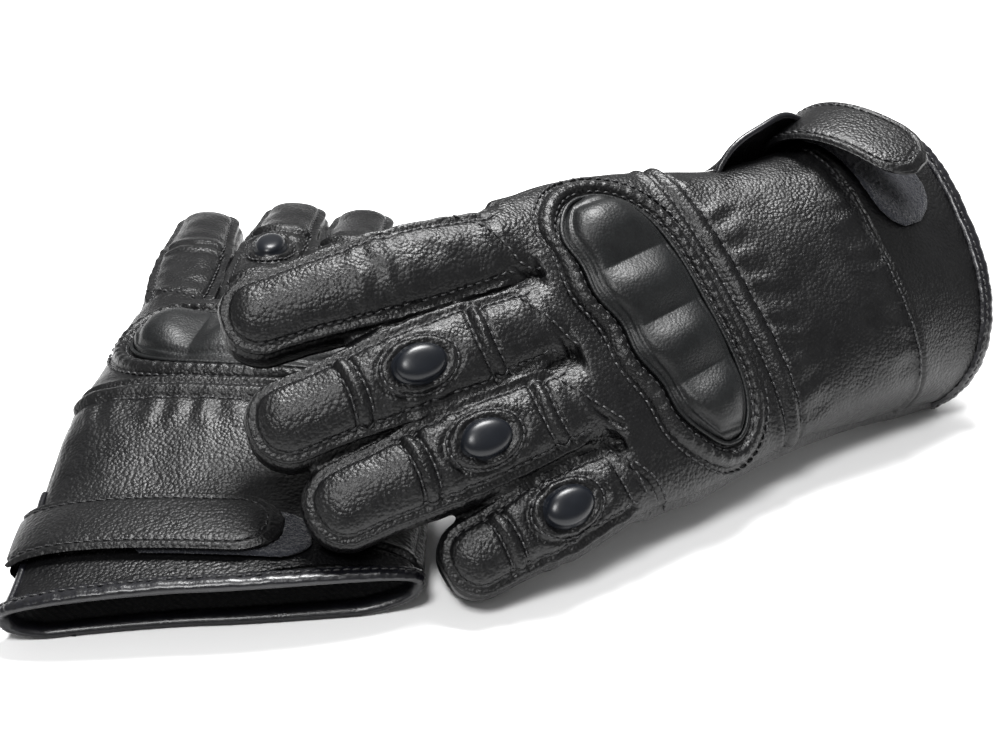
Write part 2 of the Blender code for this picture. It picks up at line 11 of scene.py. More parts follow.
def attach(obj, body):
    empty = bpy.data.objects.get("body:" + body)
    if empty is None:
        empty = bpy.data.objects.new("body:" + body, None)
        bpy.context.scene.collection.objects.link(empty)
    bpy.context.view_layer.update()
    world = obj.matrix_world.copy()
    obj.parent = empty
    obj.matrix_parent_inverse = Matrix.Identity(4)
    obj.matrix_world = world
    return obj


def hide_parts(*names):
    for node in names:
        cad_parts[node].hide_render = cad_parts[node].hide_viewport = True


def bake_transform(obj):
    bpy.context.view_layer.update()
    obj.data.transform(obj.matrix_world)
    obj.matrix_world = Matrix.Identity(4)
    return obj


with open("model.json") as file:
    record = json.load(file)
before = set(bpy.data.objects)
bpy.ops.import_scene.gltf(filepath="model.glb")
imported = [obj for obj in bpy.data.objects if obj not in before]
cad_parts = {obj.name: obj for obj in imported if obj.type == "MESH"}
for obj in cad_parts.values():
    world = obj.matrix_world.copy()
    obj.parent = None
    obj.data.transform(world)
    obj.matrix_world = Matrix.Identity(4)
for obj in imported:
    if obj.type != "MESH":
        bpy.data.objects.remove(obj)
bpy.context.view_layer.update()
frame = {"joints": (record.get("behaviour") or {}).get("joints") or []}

# ---------------------------------------------------------------------------------------------------------------
# The pattern of a glove. Each glove is cut and sewn to the same pattern, and the right one mirrors the left one.
# It is drawn in millimetres: x towards the thumb side, y from the cuff's mouth to the fingertips, z out of the
# back of the hand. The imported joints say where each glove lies.

MM = 0.001
JOINTS = {joint["name"]: joint for joint in frame["joints"]}
HAND_LENGTH = 160.0
WRIST_AT = 66.0
KNUCKLE_AT = 135.0
CUFF_SEAM_AT = 33.0
WRIST_SEAM_AT = 91.0
KNUCKLE_HALF_WIDTH = 57.5
END_HALF_WIDTH = 56.0
SECTION_POWER = 2.4
FLOOR_Z = -15.0
LITTLE_FROM, LITTLE_RUN, LITTLE_SETBACK = -22.0, 28.0, 7.0
KNUCKLE_GAP = 2.2
SLEEVE_GAP = 0.6
FINGER_SINK = 1.2
FINGERS = {
    "index": dict(half_width=13.6, half_thick=10.4, base=48.0, tip=37.5, across=41.0, spread=3.8),
    "middle": dict(half_width=13.8, half_thick=10.6, base=54.0, tip=37.0, across=12.9, spread=-1.2),
    "ring": dict(half_width=13.4, half_thick=10.4, base=48.5, tip=36.0, across=-15.1, spread=-2.4),
    "little": dict(half_width=12.3, half_thick=9.6, base=33.0, tip=24.0, across=-41.7, spread=-6.5),
}
DOMED = ("middle", "ring", "little")


def smooth(t):
    t = np.clip(t, 0.0, 1.0)
    return t * t * (3.0 - 2.0 * t)


def along(stations, y):
    """Reads a list of (y, value) stations, with smooth steps between them."""
    y = np.asarray(y, float)
    out = np.full(y.shape, float(stations[0][1]))
    for (y0, v0), (y1, v1) in zip(stations, stations[1:]):
        out = out + (v1 - v0) * smooth((y - y0) / (y1 - y0))
    return out


def unit(v):
    v = np.asarray(v, float)
    return v / np.maximum(np.linalg.norm(v, axis=-1, keepdims=True), 1e-9)


class Glove:
    """One glove: its section along y, its fingers' paths, and the matrix that lays it in the pair."""

    def __init__(self, name, side, cuff, cuff_width, wrist_width, palm, waist, mouth, lip, curl):
        self.name, self.side, self.curl = name, side, curl
        self.mouth_shape, self.lip = mouth, lip
        self.widths = [(0, cuff_width), (WRIST_AT, wrist_width), (KNUCKLE_AT, KNUCKLE_HALF_WIDTH),
                       (HAND_LENGTH, END_HALF_WIDTH)]
        self.backs = [(0, cuff), (37, cuff), (100, 15.0), (KNUCKLE_AT, 13.0), (HAND_LENGTH, 12.5)]
        self.palms = [(0, palm), (37, palm), (KNUCKLE_AT, 9.5)]
        self.waists = [(0, waist - 2.0), (37, waist), (100, 6.5), (HAND_LENGTH, 8.5)]
        hand_lean = [(WRIST_AT, 0.0), (110, 0.045), (HAND_LENGTH, 0.03)]
        self.leans = hand_lean if side > 0 else [(0, -0.035), (60, 0.0), (110, 0.02)]
        self.fingers = {finger: self.finger_path(finger) for finger in FINGERS}
        self.turn, self.shift = self.lie()

    def mouth(self, degrees):
        angle = np.radians(degrees)
        slant, setback, reach = self.mouth_shape
        palm_side = np.maximum(0.0, -np.sin(angle))
        return slant * (1 - np.cos(angle)) / 2 + setback * (1 - np.abs(np.sin(angle))) - reach + self.lip * palm_side

    def point(self, y, degrees, lift=0.0):
        """Points of the skin: 0 degrees is the thumb edge, 90 the back and -90 the palm."""
        angle = np.radians(degrees)
        c, s = np.cos(angle), np.sin(angle)
        power = 2.0 / SECTION_POWER
        half = along(self.widths, y) * (1.0 + np.sign(c) * along(self.leans, y)) + lift
        deep = np.where(s > 0, along(self.backs, y), along(self.palms, y)) + lift
        x = half * np.sign(c) * np.abs(c) ** power
        z = along(self.waists, y) + deep * np.sign(s) * np.abs(s) ** power
        z = np.maximum(z, FLOOR_Z - np.minimum(lift, 0.0))
        return np.stack(np.broadcast_arrays(x, y, z), -1).astype(float)

    def back_height(self, x, y):
        half = along(self.widths, y) * (1.0 + np.sign(x) * along(self.leans, y))
        rise = np.maximum(0.0, 1.0 - np.abs(x / half) ** SECTION_POWER) ** (1.0 / SECTION_POWER)
        return along(self.waists, y) + along(self.backs, y) * rise

    def back_at(self, x, y, lift=0.0):
        """Points above the back, lifted square to it."""
        x, y = np.broadcast_arrays(np.asarray(x, float), np.asarray(y, float))
        step = 0.5
        slope_x = (self.back_height(x + step, y) - self.back_height(x - step, y)) / (2 * step)
        slope_y = (self.back_height(x, y + step) - self.back_height(x, y - step)) / (2 * step)
        normal = unit(np.stack([-slope_x, -slope_y, np.ones_like(x)], -1))
        return np.stack([x, y, self.back_height(x, y)], -1) + normal * np.asarray(lift, float)[..., None]

    def finger_path(self, finger):
        """The joints of a finger and its directions, on the line that the back of the finger follows."""
        size = FINGERS[finger]
        across = size["across"]
        little_side = across - size["half_width"] if across < 0 else across
        ends = [HAND_LENGTH - LITTLE_SETBACK * float(smooth((LITTLE_FROM - x) / LITTLE_RUN))
                for x in (across, little_side)]
        top = float(self.back_height(across, HAND_LENGTH)) - FINGER_SINK
        knuckle = np.array([across, max(ends) + KNUCKLE_GAP, top])
        spread = math.radians(size["spread"])
        ways = []
        for bend in (0.0, self.curl[0], sum(self.curl)):
            b = math.radians(bend)
            ways.append(np.array([math.sin(spread) * math.cos(b), math.cos(spread) * math.cos(b), -math.sin(b)]))
        middle = knuckle + ways[1] * (size["base"] + SLEEVE_GAP)
        return dict(size, knuckle=knuckle, middle=middle, ways=ways,
                    side=np.array([math.cos(spread), -math.sin(spread), 0.0]))

    def lie(self):
        """The turn and shift that take the pattern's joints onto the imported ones."""
        drawn, packed = [], []
        for finger, path in self.fingers.items():
            for joint, place in (("knuckle", path["knuckle"]), ("middle_joint", path["middle"])):
                found = JOINTS.get(f"{self.name}_{finger}_{joint}")
                if found:
                    drawn.append(place * (self.side, 1, 1))
                    packed.append(np.array(found["pos_m"]) / MM)
        drawn, packed = np.array(drawn), np.array(packed)
        u, _, vt = np.linalg.svd((drawn - drawn.mean(0)).T @ (packed - packed.mean(0)))
        flat = np.diag([1, 1, np.sign(np.linalg.det(vt.T @ u.T))])
        turn = vt.T @ flat @ u.T
        return turn, packed.mean(0) - turn @ drawn.mean(0)

    def world(self, points):
        """Pattern millimetres to metres in the pair."""
        points = np.asarray(points, float) * (self.side, 1, 1)
        return (points @ self.turn.T + self.shift) * MM

    def world_way(self, ways):
        return (np.asarray(ways, float) * (self.side, 1, 1)) @ self.turn.T


LEFT = Glove("left", 1, 33.0, 54.0, 50.5, 19.0, 0.0, (15.0, 12.0, 21.0), 0.0, (10.0, 12.0))
RIGHT = Glove("right", -1, 10.5, 62.0, 62.0, 12.5, -4.0, (22.5, 6.5, 8.3), 8.0, (1.5, 4.0))
GLOVES = (LEFT, RIGHT)

# ---------------------------------------------------------------------------------------------------------------
# The leather. Drum-dyed black goatskin with a fine pebbled grain and a semi-gloss finish; pulled tight over a
# moulding it turns smoother, and the thin binding leather is glossier with a cool sheen.


def linear(hex_colour):
    """A #rrggbb colour in linear light."""
    parts = [int(hex_colour[i:i + 2], 16) / 255 for i in (1, 3, 5)]
    return tuple(p / 12.92 if p <= 0.04045 else ((p + 0.055) / 1.055) ** 2.4 for p in parts) + (1.0,)


def add(tree, kind, links=None, **settings):
    """Adds one node: settings go to its properties or inputs, and links join its inputs to other sockets."""
    node = tree.nodes.new(kind)
    for key, value in settings.items():
        if key.startswith("in_"):
            node.inputs[int(key[3:])].default_value = value
        elif hasattr(node, key):
            setattr(node, key, value)
        else:
            node.inputs[key.replace("_", " ")].default_value = value
    for key, socket in (links or {}).items():
        tree.links.new(socket, node.inputs[key])
    return node


def blank(name):
    """A new material with its node tree, its shader, and the place on the object."""
    made = bpy.data.materials.new(name)
    made.use_nodes = True
    tree = made.node_tree
    return made, tree, tree.nodes["Principled BSDF"], add(tree, "ShaderNodeTexCoord").outputs["Object"]


def leather(name, dark, light, rough, grain_mm, grain_deep, coat=0.0, crease_deep=0.12):
    """Leather whose grain is cells of grain_mm with finer pores between them, and faint creases over both; painted
    shade darkens the valleys between the cells.
    """
    made, tree, shader, place = blank(name)
    shader.inputs["IOR"].default_value = 1.5
    shader.inputs["Specular IOR Level"].default_value = 0.33
    shader.inputs["Coat Weight"].default_value = coat
    shader.inputs["Coat Roughness"].default_value = 0.22
    warp = add(tree, "ShaderNodeTexNoise", {"Vector": place}, Scale=0.5 / (grain_mm * MM), Detail=2.0)
    bent = add(tree, "ShaderNodeMixRGB", {"Color1": place, "Color2": warp.outputs["Color"]}, in_0=0.0006,
               blend_type="ADD")
    cells = add(tree, "ShaderNodeTexVoronoi", {"Vector": bent.outputs["Color"]}, Scale=1 / (grain_mm * MM),
                feature="F1")
    pores = add(tree, "ShaderNodeTexNoise", {"Vector": place}, Scale=2.6 / (grain_mm * MM), Detail=4.0,
                Roughness=0.6)
    creases = add(tree, "ShaderNodeTexNoise", {"Vector": place}, Scale=110.0, Detail=5.0, Roughness=0.62,
                  Distortion=0.5)
    patches = add(tree, "ShaderNodeTexNoise", {"Vector": place}, Scale=42.0, Detail=3.0)
    tint = add(tree, "ShaderNodeMixRGB", {"Fac": patches.outputs["Fac"]}, Color1=linear(dark), Color2=linear(light))
    # Painted shade: the colour is pulled towards #060607 at the edges of the grain's cells, in the valleys between
    # the pebbles.
    painted_valley_shade = add(tree, "ShaderNodeMixRGB", {"Color1": tint.outputs["Color"], "Fac": cells.outputs["Distance"]},
               Color2=linear("#060607"), blend_type="MIX")
    tree.links.new(painted_valley_shade.outputs["Color"], shader.inputs["Base Color"])
    shine = add(tree, "ShaderNodeMapRange", {"Value": creases.outputs["Fac"]}, in_1=0.3, in_2=0.75,
                in_3=rough - 0.07, in_4=rough + 0.11)
    tree.links.new(shine.outputs["Result"], shader.inputs["Roughness"])
    coarse = add(tree, "ShaderNodeBump", {"Height": creases.outputs["Fac"]}, Strength=1.0,
                 Distance=crease_deep * MM)
    pebbles = add(tree, "ShaderNodeBump", {"Height": cells.outputs["Distance"], "Normal": coarse.outputs["Normal"]},
                  Strength=1.0, Distance=grain_deep * MM, invert=True)
    fine = add(tree, "ShaderNodeBump", {"Height": pores.outputs["Fac"], "Normal": pebbles.outputs["Normal"]},
               Strength=1.0, Distance=grain_deep * 0.45 * MM)
    tree.links.new(fine.outputs["Normal"], shader.inputs["Normal"])
    return made


GOATSKIN = leather("goatskin", "#050506", "#0c0c0d", 0.35, 1.2, 0.22, crease_deep=0.09)
MOULDED_GOATSKIN = leather("moulded_goatskin", "#07090a", "#0f1213", 0.43, 0.95, 0.09, crease_deep=0.05)
BINDING_SKIVER = leather("binding_skiver", "#08080f", "#101018", 0.32, 0.9, 0.08, coat=0.3, crease_deep=0.1)

# ---------------------------------------------------------------------------------------------------------------
# The skins. The back and palm leather and the four fingers of each glove are drawn as closed tubes, merged into
# one body, and then every seam, crease and sewn channel is raised or sunk square to the surface. The body is
# split into the hand and a base and a tip for each finger.

VOXEL = 1.22
VENT_HALF = 4.5
VENT_END = 58.0
FULLER, THICKER, DEEPER_BELOW = 1.5, 0.9, 1.26
TIP_TAPER = 0.13
TIP_ROUND = 0.98
SEAM_ROWS = 3.7
BASE_BLEND = (-4.0, 9.0)
TIP_BLEND = (-5.0, 7.0)
TIP_SPLIT = 9.0
PANEL_LEVEL = 0.62
RELIEF_DEEP = 1.08
FOLDS = ((-23.0, -0.012), (20.5, 0.012))
FOLD_ROWS = 2.7
DOME_BACK = {"middle": 5.5, "ring": 10.0, "little": 7.0}
RIGHT_DOME_BACK = 8.0


def ring_faces(rows, count, closed=True):
    """Quads between rows of count points; closed joins each row's end to its start."""
    r, i = np.meshgrid(np.arange(rows - 1), np.arange(count if closed else count - 1), indexing="ij")
    j = (i + 1) % count
    return np.stack([r * count + i, r * count + j, (r + 1) * count + j, (r + 1) * count + i], -1).reshape(-1, 4)


def dome_at(glove, finger):
    """How far past the knuckle a finger's dome stands."""
    back = DOME_BACK.get(finger, 0.0) + (RIGHT_DOME_BACK if glove.side < 0 else 0.0)
    return glove.fingers[finger]["base"] - back


def finger_section(path, s, count=40):
    """A ring of the finger at s millimetres past its knuckle, in the finger's side and up directions."""
    grow = 1.0 + 0.09 * float(smooth(s / 34.0))
    length = path["base"] + SLEEVE_GAP + path["tip"]
    reach = path["half_width"] * TIP_ROUND
    close = math.sqrt(max(0.0, 1.0 - max(0.0, (s - length) / reach) ** 2.0))
    narrow = 1.0 - TIP_TAPER * float(smooth((s - path["base"] + 6.0) / path["tip"]))
    angle = np.radians(np.arange(count) * 360.0 / count)
    power = 2.0 / 2.15
    c, w = np.cos(angle), np.sin(angle)
    across = (path["half_width"] + FULLER) * grow * narrow * close * np.sign(c) * np.abs(c) ** power
    up = (path["half_thick"] + THICKER) * (grow + 0.02) * close * np.sign(w) * np.abs(w) ** power
    up = np.where(w < 0, DEEPER_BELOW, 1.0) * up
    return across, up


def finger_spine(path):
    """Points every 2 mm down the middle of the finger, with its direction and its up direction at each."""
    length = path["base"] + SLEEVE_GAP + path["tip"] + path["half_width"] * TIP_ROUND
    steps = np.arange(-24.0, length + 0.01, 2.0)
    back = []
    for s in steps:
        if s < 0:
            back.append(path["knuckle"] + path["ways"][0] * s)
        elif s < path["base"] + SLEEVE_GAP:
            back.append(path["knuckle"] + path["ways"][1] * s)
        else:
            back.append(path["middle"] + path["ways"][2] * (s - path["base"] - SLEEVE_GAP))
    back = np.array(back)
    for _ in range(8):
        back[1:-1] = (back[:-2] + 2 * back[1:-1] + back[2:]) / 4
    way = unit(np.gradient(back, axis=0))
    up = unit(np.cross(np.broadcast_to(path["side"], way.shape), way))
    return steps, back - up * path["half_thick"], way, up


def at_lengths(run, values, at):
    """Reads rows of three values at places along a line."""
    return np.stack([np.interp(at, run, values[:, k]) for k in range(3)], -1)


def tube(rings):
    """One closed tube from rings of equal count, with a fan at each end."""
    rows, count = len(rings), len(rings[0])
    points = np.concatenate([np.array(rings).reshape(-1, 3), [np.mean(rings[0], 0)], [np.mean(rings[-1], 0)]])
    faces = [tuple(f) for f in ring_faces(rows, count)]
    for i in range(count):
        j = (i + 1) % count
        faces.append((j, i, rows * count))
        faces.append(((rows - 1) * count + i, (rows - 1) * count + j, rows * count + 1))
    return points, faces


def put(name, data):
    """A new object in the scene."""
    made = bpy.data.objects.new(name, data)
    bpy.context.collection.objects.link(made)
    return made


def body_of_glove(glove):
    """The hand and its fingers as one merged quad mesh, in pattern millimetres."""
    degrees = np.arange(0, 360, 3.0)
    rings = []
    for t in np.linspace(0.0, 1.0, 60):
        start = glove.mouth(degrees) - 3.0
        across = END_HALF_WIDTH * np.cos(np.radians(degrees))
        little = LITTLE_SETBACK * smooth((LITTLE_FROM - across) / LITTLE_RUN)
        y = start + (HAND_LENGTH - little - 1.0 - start) * t
        rings.append(glove.point(y, degrees))
    parts = [tube(rings)]
    for path in glove.fingers.values():
        steps, centre, _, up = finger_spine(path)
        rings = []
        round_end = path["base"] + SLEEVE_GAP + path["tip"]
        tip = round_end + path["half_width"] * TIP_ROUND * np.sin(np.radians(np.arange(0.0, 89.0, 8.0)))
        for s in np.concatenate([steps[steps < round_end - 1.0], tip]):
            c, u = at_lengths(steps, centre, s), at_lengths(steps, up, s)
            across, high = finger_section(path, s)
            rings.append(c + np.outer(across, path["side"]) + np.outer(high, u))
        parts.append(tube(rings))
    mesh = bpy.data.meshes.new(f"{glove.name}_form")
    points, faces, offset = [], [], 0
    for p, f in parts:
        points.append(p)
        faces += [tuple(int(v) + offset for v in face) for face in f]
        offset += len(p)
    mesh.from_pydata(np.concatenate(points) * MM, [], faces)
    form = put(f"{glove.name}_form", mesh)
    merge = form.modifiers.new("merge", "REMESH")
    merge.mode = "VOXEL"
    merge.voxel_size = VOXEL * MM
    ease = form.modifiers.new("ease", "SMOOTH")
    ease.factor = 0.5
    ease.iterations = 7
    fine = form.modifiers.new("fine", "SUBSURF")
    fine.levels = 1
    shown = form.evaluated_get(bpy.context.evaluated_depsgraph_get())
    done = shown.to_mesh()
    co = np.empty(len(done.vertices) * 3, np.float32)
    done.vertices.foreach_get("co", co)
    quads = np.empty(len(done.loops), np.int32)
    done.loops.foreach_get("vertex_index", quads)
    shown.to_mesh_clear()
    bpy.data.objects.remove(form)
    return co.reshape(-1, 3).astype(float) / MM, quads.reshape(-1, 4)


def normals_of(points, quads):
    """Smooth normals of a quad mesh."""
    p = points[quads]
    flat = np.cross(p[:, 2] - p[:, 0], p[:, 3] - p[:, 1])
    out = np.zeros_like(points)
    for k in range(4):
        np.add.at(out, quads[:, k], flat)
    return unit(out)


def finger_coords(points, glove):
    """For each point: the nearest finger, how far past the knuckle, to the side and up from its middle."""
    best = np.full(len(points), 1e9)
    which = np.full(len(points), -1)
    coords = np.zeros((len(points), 3))
    live = points[:, 1] > HAND_LENGTH - 22.0
    index = np.nonzero(live)[0]
    for k, path in enumerate(glove.fingers.values()):
        steps, centre, way, up = finger_spine(path)
        for chunk in np.array_split(index, max(1, len(index) // 20000)):
            gap = points[chunk][:, None] - centre[None]
            near = (gap ** 2).sum(-1).argmin(1)
            d = gap[np.arange(len(chunk)), near]
            s = steps[near] + (d * way[near]).sum(-1)
            u = d @ path["side"]
            w = (d * up[near]).sum(-1)
            far = (u / path["half_width"]) ** 2 + (w / path["half_thick"]) ** 2
            better = far < best[chunk]
            best[chunk] = np.where(better, far, best[chunk])
            which[chunk] = np.where(better, k, which[chunk])
            coords[chunk] = np.where(better[:, None], np.stack([s, u, w], -1), coords[chunk])
    return which, coords


def line_distance(x, y, line):
    """The distance of points to a polyline in the pattern plane, and its sign: positive on its left."""
    best = np.full(x.shape, 1e9)
    sign = np.ones(x.shape)
    for (x0, y0), (x1, y1) in zip(line, line[1:]):
        dx, dy = x1 - x0, y1 - y0
        t = np.clip(((x - x0) * dx + (y - y0) * dy) / (dx * dx + dy * dy), 0, 1)
        ex, ey = x - x0 - t * dx, y - y0 - t * dy
        d = np.hypot(ex, ey)
        better = d < best
        best = np.where(better, d, best)
        sign = np.where(better, np.sign(dx * ey - dy * ex), sign)
    return best * np.where(sign == 0, 1, sign)


def bump(d, half):
    return np.exp(-(d / half) ** 2)


def rumple(points, size, seed):
    """Smooth noise from -1 to 1 with features of the given size in millimetres."""
    shifted = points / size + seed
    return np.array([noise.noise(Vector(p)) for p in shifted])


FINGER_SEAMS = (
    [(56, 180), (46, 172), (33, 167), (27, 160)],
    [(23, 174), (12, 168), (0, 161)],
    [(-6, 173), (-17, 166), (-28, 156)],
    [(-33, 164), (-46, 154), (-58, 148)],
)


def wrist_seam(x):
    return WRIST_SEAM_AT + 0.06 * x


def cuff_seam(x):
    return CUFF_SEAM_AT + 0.02 * x - 0.0012 * x ** 2


def hand_relief(glove, p):
    """How far the hand's leather stands out or in, in millimetres."""
    x, y, z = p.T
    waist = along(glove.waists, y)
    back = smooth((z - waist + 2.0) / 5.0)
    side_seam = z - waist + 1.5
    edge = smooth((np.abs(x) - 44.0) / 6.0)
    out = edge * (1.5 * bump(side_seam, 1.5) - 1.0 * bump(side_seam + 3.2, 1.1) - 0.8 * bump(side_seam - 3.0, 1.0))
    d = y - wrist_seam(x)
    out += back * (1.5 * bump(d, 2.4) - 0.9 * bump(d - SEAM_ROWS, 0.9) - 0.9 * bump(d + SEAM_ROWS, 0.9)
                   + 0.8 * bump(d - 6.2, 1.7))
    d = y - cuff_seam(x)
    out += back * (-1.0 * bump(d, 0.8) + 0.7 * bump(d - 2.0, 1.3))
    for line in FINGER_SEAMS:
        d = line_distance(x, y, line)
        out += smooth((z - waist - 2.0) / 4.0) * (0.9 * bump(d + 1.1, 1.0) - 0.9 * bump(d - 0.6, 0.8))
    soft = smooth((y - 8.0) / 25.0)
    calm = 1.0 - 0.75 * bump(y - 124.0, 26.0)
    out += soft * calm * back * (1.1 * rumple(p * (1, 0.7, 1), 26.0, 3.1) + 0.35 * rumple(p, 9.0, 7.7))
    out += (1 - back) * 0.7 * rumple(p, 15.0, 5.3)
    pucker = bump(y - wrist_seam(x) + 9.0, 7.0) + 0.7 * bump(y - cuff_seam(x) - 7.0, 6.0)
    out += back * pucker * 0.35 * np.sin(x / 1.6 + 2.0 * rumple(p, 12.0, 2.2))
    return out


def finger_relief(path, domed, dome, s, u, w, p):
    """How far a finger's leather stands out or in, in millimetres."""
    deep = path["half_thick"] * RELIEF_DEEP
    past = smooth((s - 2.0) / 8.0)
    level = PANEL_LEVEL * deep
    d = w - level
    out = past * (1.0 * bump(d, 0.8) - 0.8 * bump(d + 1.7, 0.9) - 0.8 * bump(d - 1.7, 0.7))
    d = w + 0.62 * deep
    out += past * (0.7 * bump(d, 0.9) - 0.5 * bump(d - 1.9, 0.9))
    top = smooth((w - level - 0.6) / 1.6)
    if domed:
        for off, bow in FOLDS:
            d = s - (dome + off) - bow * u ** 2
            out += top * past * (1.0 * bump(d, 1.5) - 0.9 * bump(d - FOLD_ROWS, 0.8) - 0.9 * bump(d + FOLD_ROWS, 0.8))
        r = np.hypot(u / 7.6, (s - dome) / 11.0)
        out += top * (1.1 * bump((r - 1.0) * 9.0, 1.3) - 0.7 * bump((r - 1.24) * 9.0, 0.9))
        inside = top * bump((s - dome) / 20.0, 1.0)
        out += inside * 0.35 * rumple(p, 3.4, 9.0)
    tip = smooth((s - path["base"] - 8.0) / 12.0)
    joint = bump(s - path["base"], 9.0) + 0.8 * bump(s - 4.0, 8.0)
    ripple = np.sin(s / 1.35 + 1.8 * rumple(p, 8.0, 4.4))
    wall = 1.0 - smooth((w - level) / 2.0)
    out += wall * (0.12 + 0.4 * joint) * ripple * 0.45
    out += (1 - tip) * 0.5 * rumple(p, 7.0, 1.9) + tip * top * 0.5 * rumple(p, 11.0, 8.8)
    out += top * (1 - tip) * joint * 0.4 * ripple
    return out


def sew(glove):
    """The finished skin of a glove: points, quads, normals and the finger coordinates of each point."""
    points, quads = body_of_glove(glove)
    normals = normals_of(points, quads)
    which, coords = finger_coords(points, glove)
    s, u, w = coords.T
    blend = np.where(which >= 0, smooth((s + 3.0) / 9.0), 0.0)
    relief = (1 - blend) * hand_relief(glove, points)
    for k, (finger, path) in enumerate(glove.fingers.items()):
        mine = (which == k) & (blend > 0)
        dome = dome_at(glove, finger)
        relief[mine] += blend[mine] * finger_relief(path, finger in DOMED, dome, s[mine], u[mine], w[mine],
                                                    points[mine])
    points = points + normals * relief[:, None]
    points[:, 2] = np.where((glove.side < 0) & (points[:, 2] < FLOOR_Z), FLOOR_Z, points[:, 2])
    angle = np.degrees(np.arctan2((points[:, 2] - along(glove.waists, points[:, 1])) / 20.0, points[:, 0] / 55.0))
    x, y, z = points.T
    up = z - along(glove.waists, y)
    half = along(glove.widths, y) * (1.0 + np.sign(x) * along(glove.leans, y))
    reach = (np.abs(x) / half) ** SECTION_POWER
    reach += (np.abs(up) / np.where(up > 0, along(glove.backs, y), along(glove.palms, y))) ** SECTION_POWER
    low_end = float(glove.mouth(0.0))
    slit = VENT_HALF * np.sqrt(np.maximum(0.0, 1.0 - np.maximum(0.0, (y - low_end) / (VENT_END - low_end)) ** 2))
    open_end = (y < glove.mouth(angle) + 1.6) | ((y < glove.mouth(angle) + 9.0) & (reach < 0.8))
    open_end |= (x > 25.0) & (np.abs(up) < slit)
    keep = ~open_end[quads].any(1)
    return dict(points=points, quads=quads[keep], normals=normals_of(points, quads[keep]), which=which, s=s,
                tree=BVHTree.FromPolygons([tuple(p) for p in points], [tuple(q) for q in quads[keep].tolist()]))


def make_mesh(glove, name, points, faces, material, normals=None):
    """A mesh object from pattern points; the right glove's faces turn over, because it mirrors the left."""
    mesh = bpy.data.meshes.new(name)
    faces = faces.tolist() if isinstance(faces, np.ndarray) else faces
    if glove.side < 0:
        faces = [face[::-1] for face in faces]
    placed = glove.world(points)
    placed[:, 2] = np.maximum(placed[:, 2], 0.0)
    mesh.from_pydata(placed.tolist(), [], faces)
    mesh.materials.append(material)
    mesh.shade_smooth()
    if normals is not None:
        mesh.normals_split_custom_set_from_vertices(glove.world_way(normals).tolist())
    return put(name, mesh)


def cut_out(skin, chosen):
    """The points, faces and normals of some of a skin's quads."""
    quads = skin["quads"][chosen]
    used, flat = np.unique(quads, return_inverse=True)
    return skin["points"][used], flat.reshape(-1, 4), skin["normals"][used]


def finger_body(glove, finger):
    """The body of a finger's base: its own, or the hand where the knuckle has no joint."""
    own = f"{glove.name}_{finger}"
    return own if f"{own}_knuckle" in JOINTS else f"{glove.name}_hand"


def join_finger(glove, finger, part, piece):
    """Places a piece of a finger's base or tip: a base whose knuckle has no joint goes with the hand, and any other
    piece is fixed where it lies.
    """
    path = glove.fingers[finger]
    steps, centre, _, _ = finger_spine(path)
    hand, body = f"{glove.name}_hand", finger_body(glove, finger)

    def ends(at, reach):
        return [tuple(glove.world(at_lengths(steps, centre, at + off))) for off in reach]

    if part == "tip":
        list(ends(path["base"], TIP_BLEND))
        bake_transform(piece)
    elif body != hand:
        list(ends(0.0, BASE_BLEND))
        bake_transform(piece)
    else:
        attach(piece, hand)


def finish_skin(glove, skin):
    """Cuts the skin into the hand and two pieces for each finger, and places each piece."""
    face_s = skin["s"][skin["quads"]].mean(1)
    face_which = skin["which"][skin["quads"][:, 0]]
    name = glove.name
    hand = np.ones(len(skin["quads"]), bool)
    for k, (finger, path) in enumerate(glove.fingers.items()):
        split = path["base"] - TIP_SPLIT
        mine = face_which == k
        parts = {"base": mine & (face_s > -9.0) & (face_s <= split), "tip": mine & (face_s > split)}
        for part, chosen in parts.items():
            hand &= ~chosen
            points, faces, normals = cut_out(skin, chosen)
            piece = make_mesh(glove, f"{name}_{finger}_{part}_leather", points, faces, GOATSKIN, normals)
            join_finger(glove, finger, part, piece)
            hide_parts(f"{name}_{finger}_{part}")
    points, faces, normals = cut_out(skin, hand)
    piece = make_mesh(glove, f"{name}_hand_leather", points, faces, GOATSKIN, normals)
    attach(piece, f"{name}_hand")
    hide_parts(f"{name}_back_panel", f"{name}_wrist_panel", f"{name}_cuff_band", f"{name}_palm_panel")


SKINS = {glove.name: sew(glove) for glove in GLOVES}
for glove in GLOVES:
    finish_skin(glove, SKINS[glove.name])
# ---------------------------------------------------------------------------------------------------------------
# The thumbs. Each is a leather sleeve with a seam round its edge, set into the palm under a slanted mouth and
# pressed flat beneath the hand.

THUMB_ROOT = (31.0, 72.0)
THUMB_HALF = (14.5, 4.9)
THUMB_LENGTH = 62.0
THUMB_TURN = math.radians(6.0)
THUMB_MOUTH = math.tan(math.radians(62.0))
THUMB_CLEAR = 1.3


def palm_height(glove, x, y):
    fall = max(0.0, 1.0 - abs(x / float(along(glove.widths, y))) ** SECTION_POWER) ** (1.0 / SECTION_POWER)
    return max(float(along(glove.waists, y) - along(glove.palms, y) * fall), FLOOR_Z)


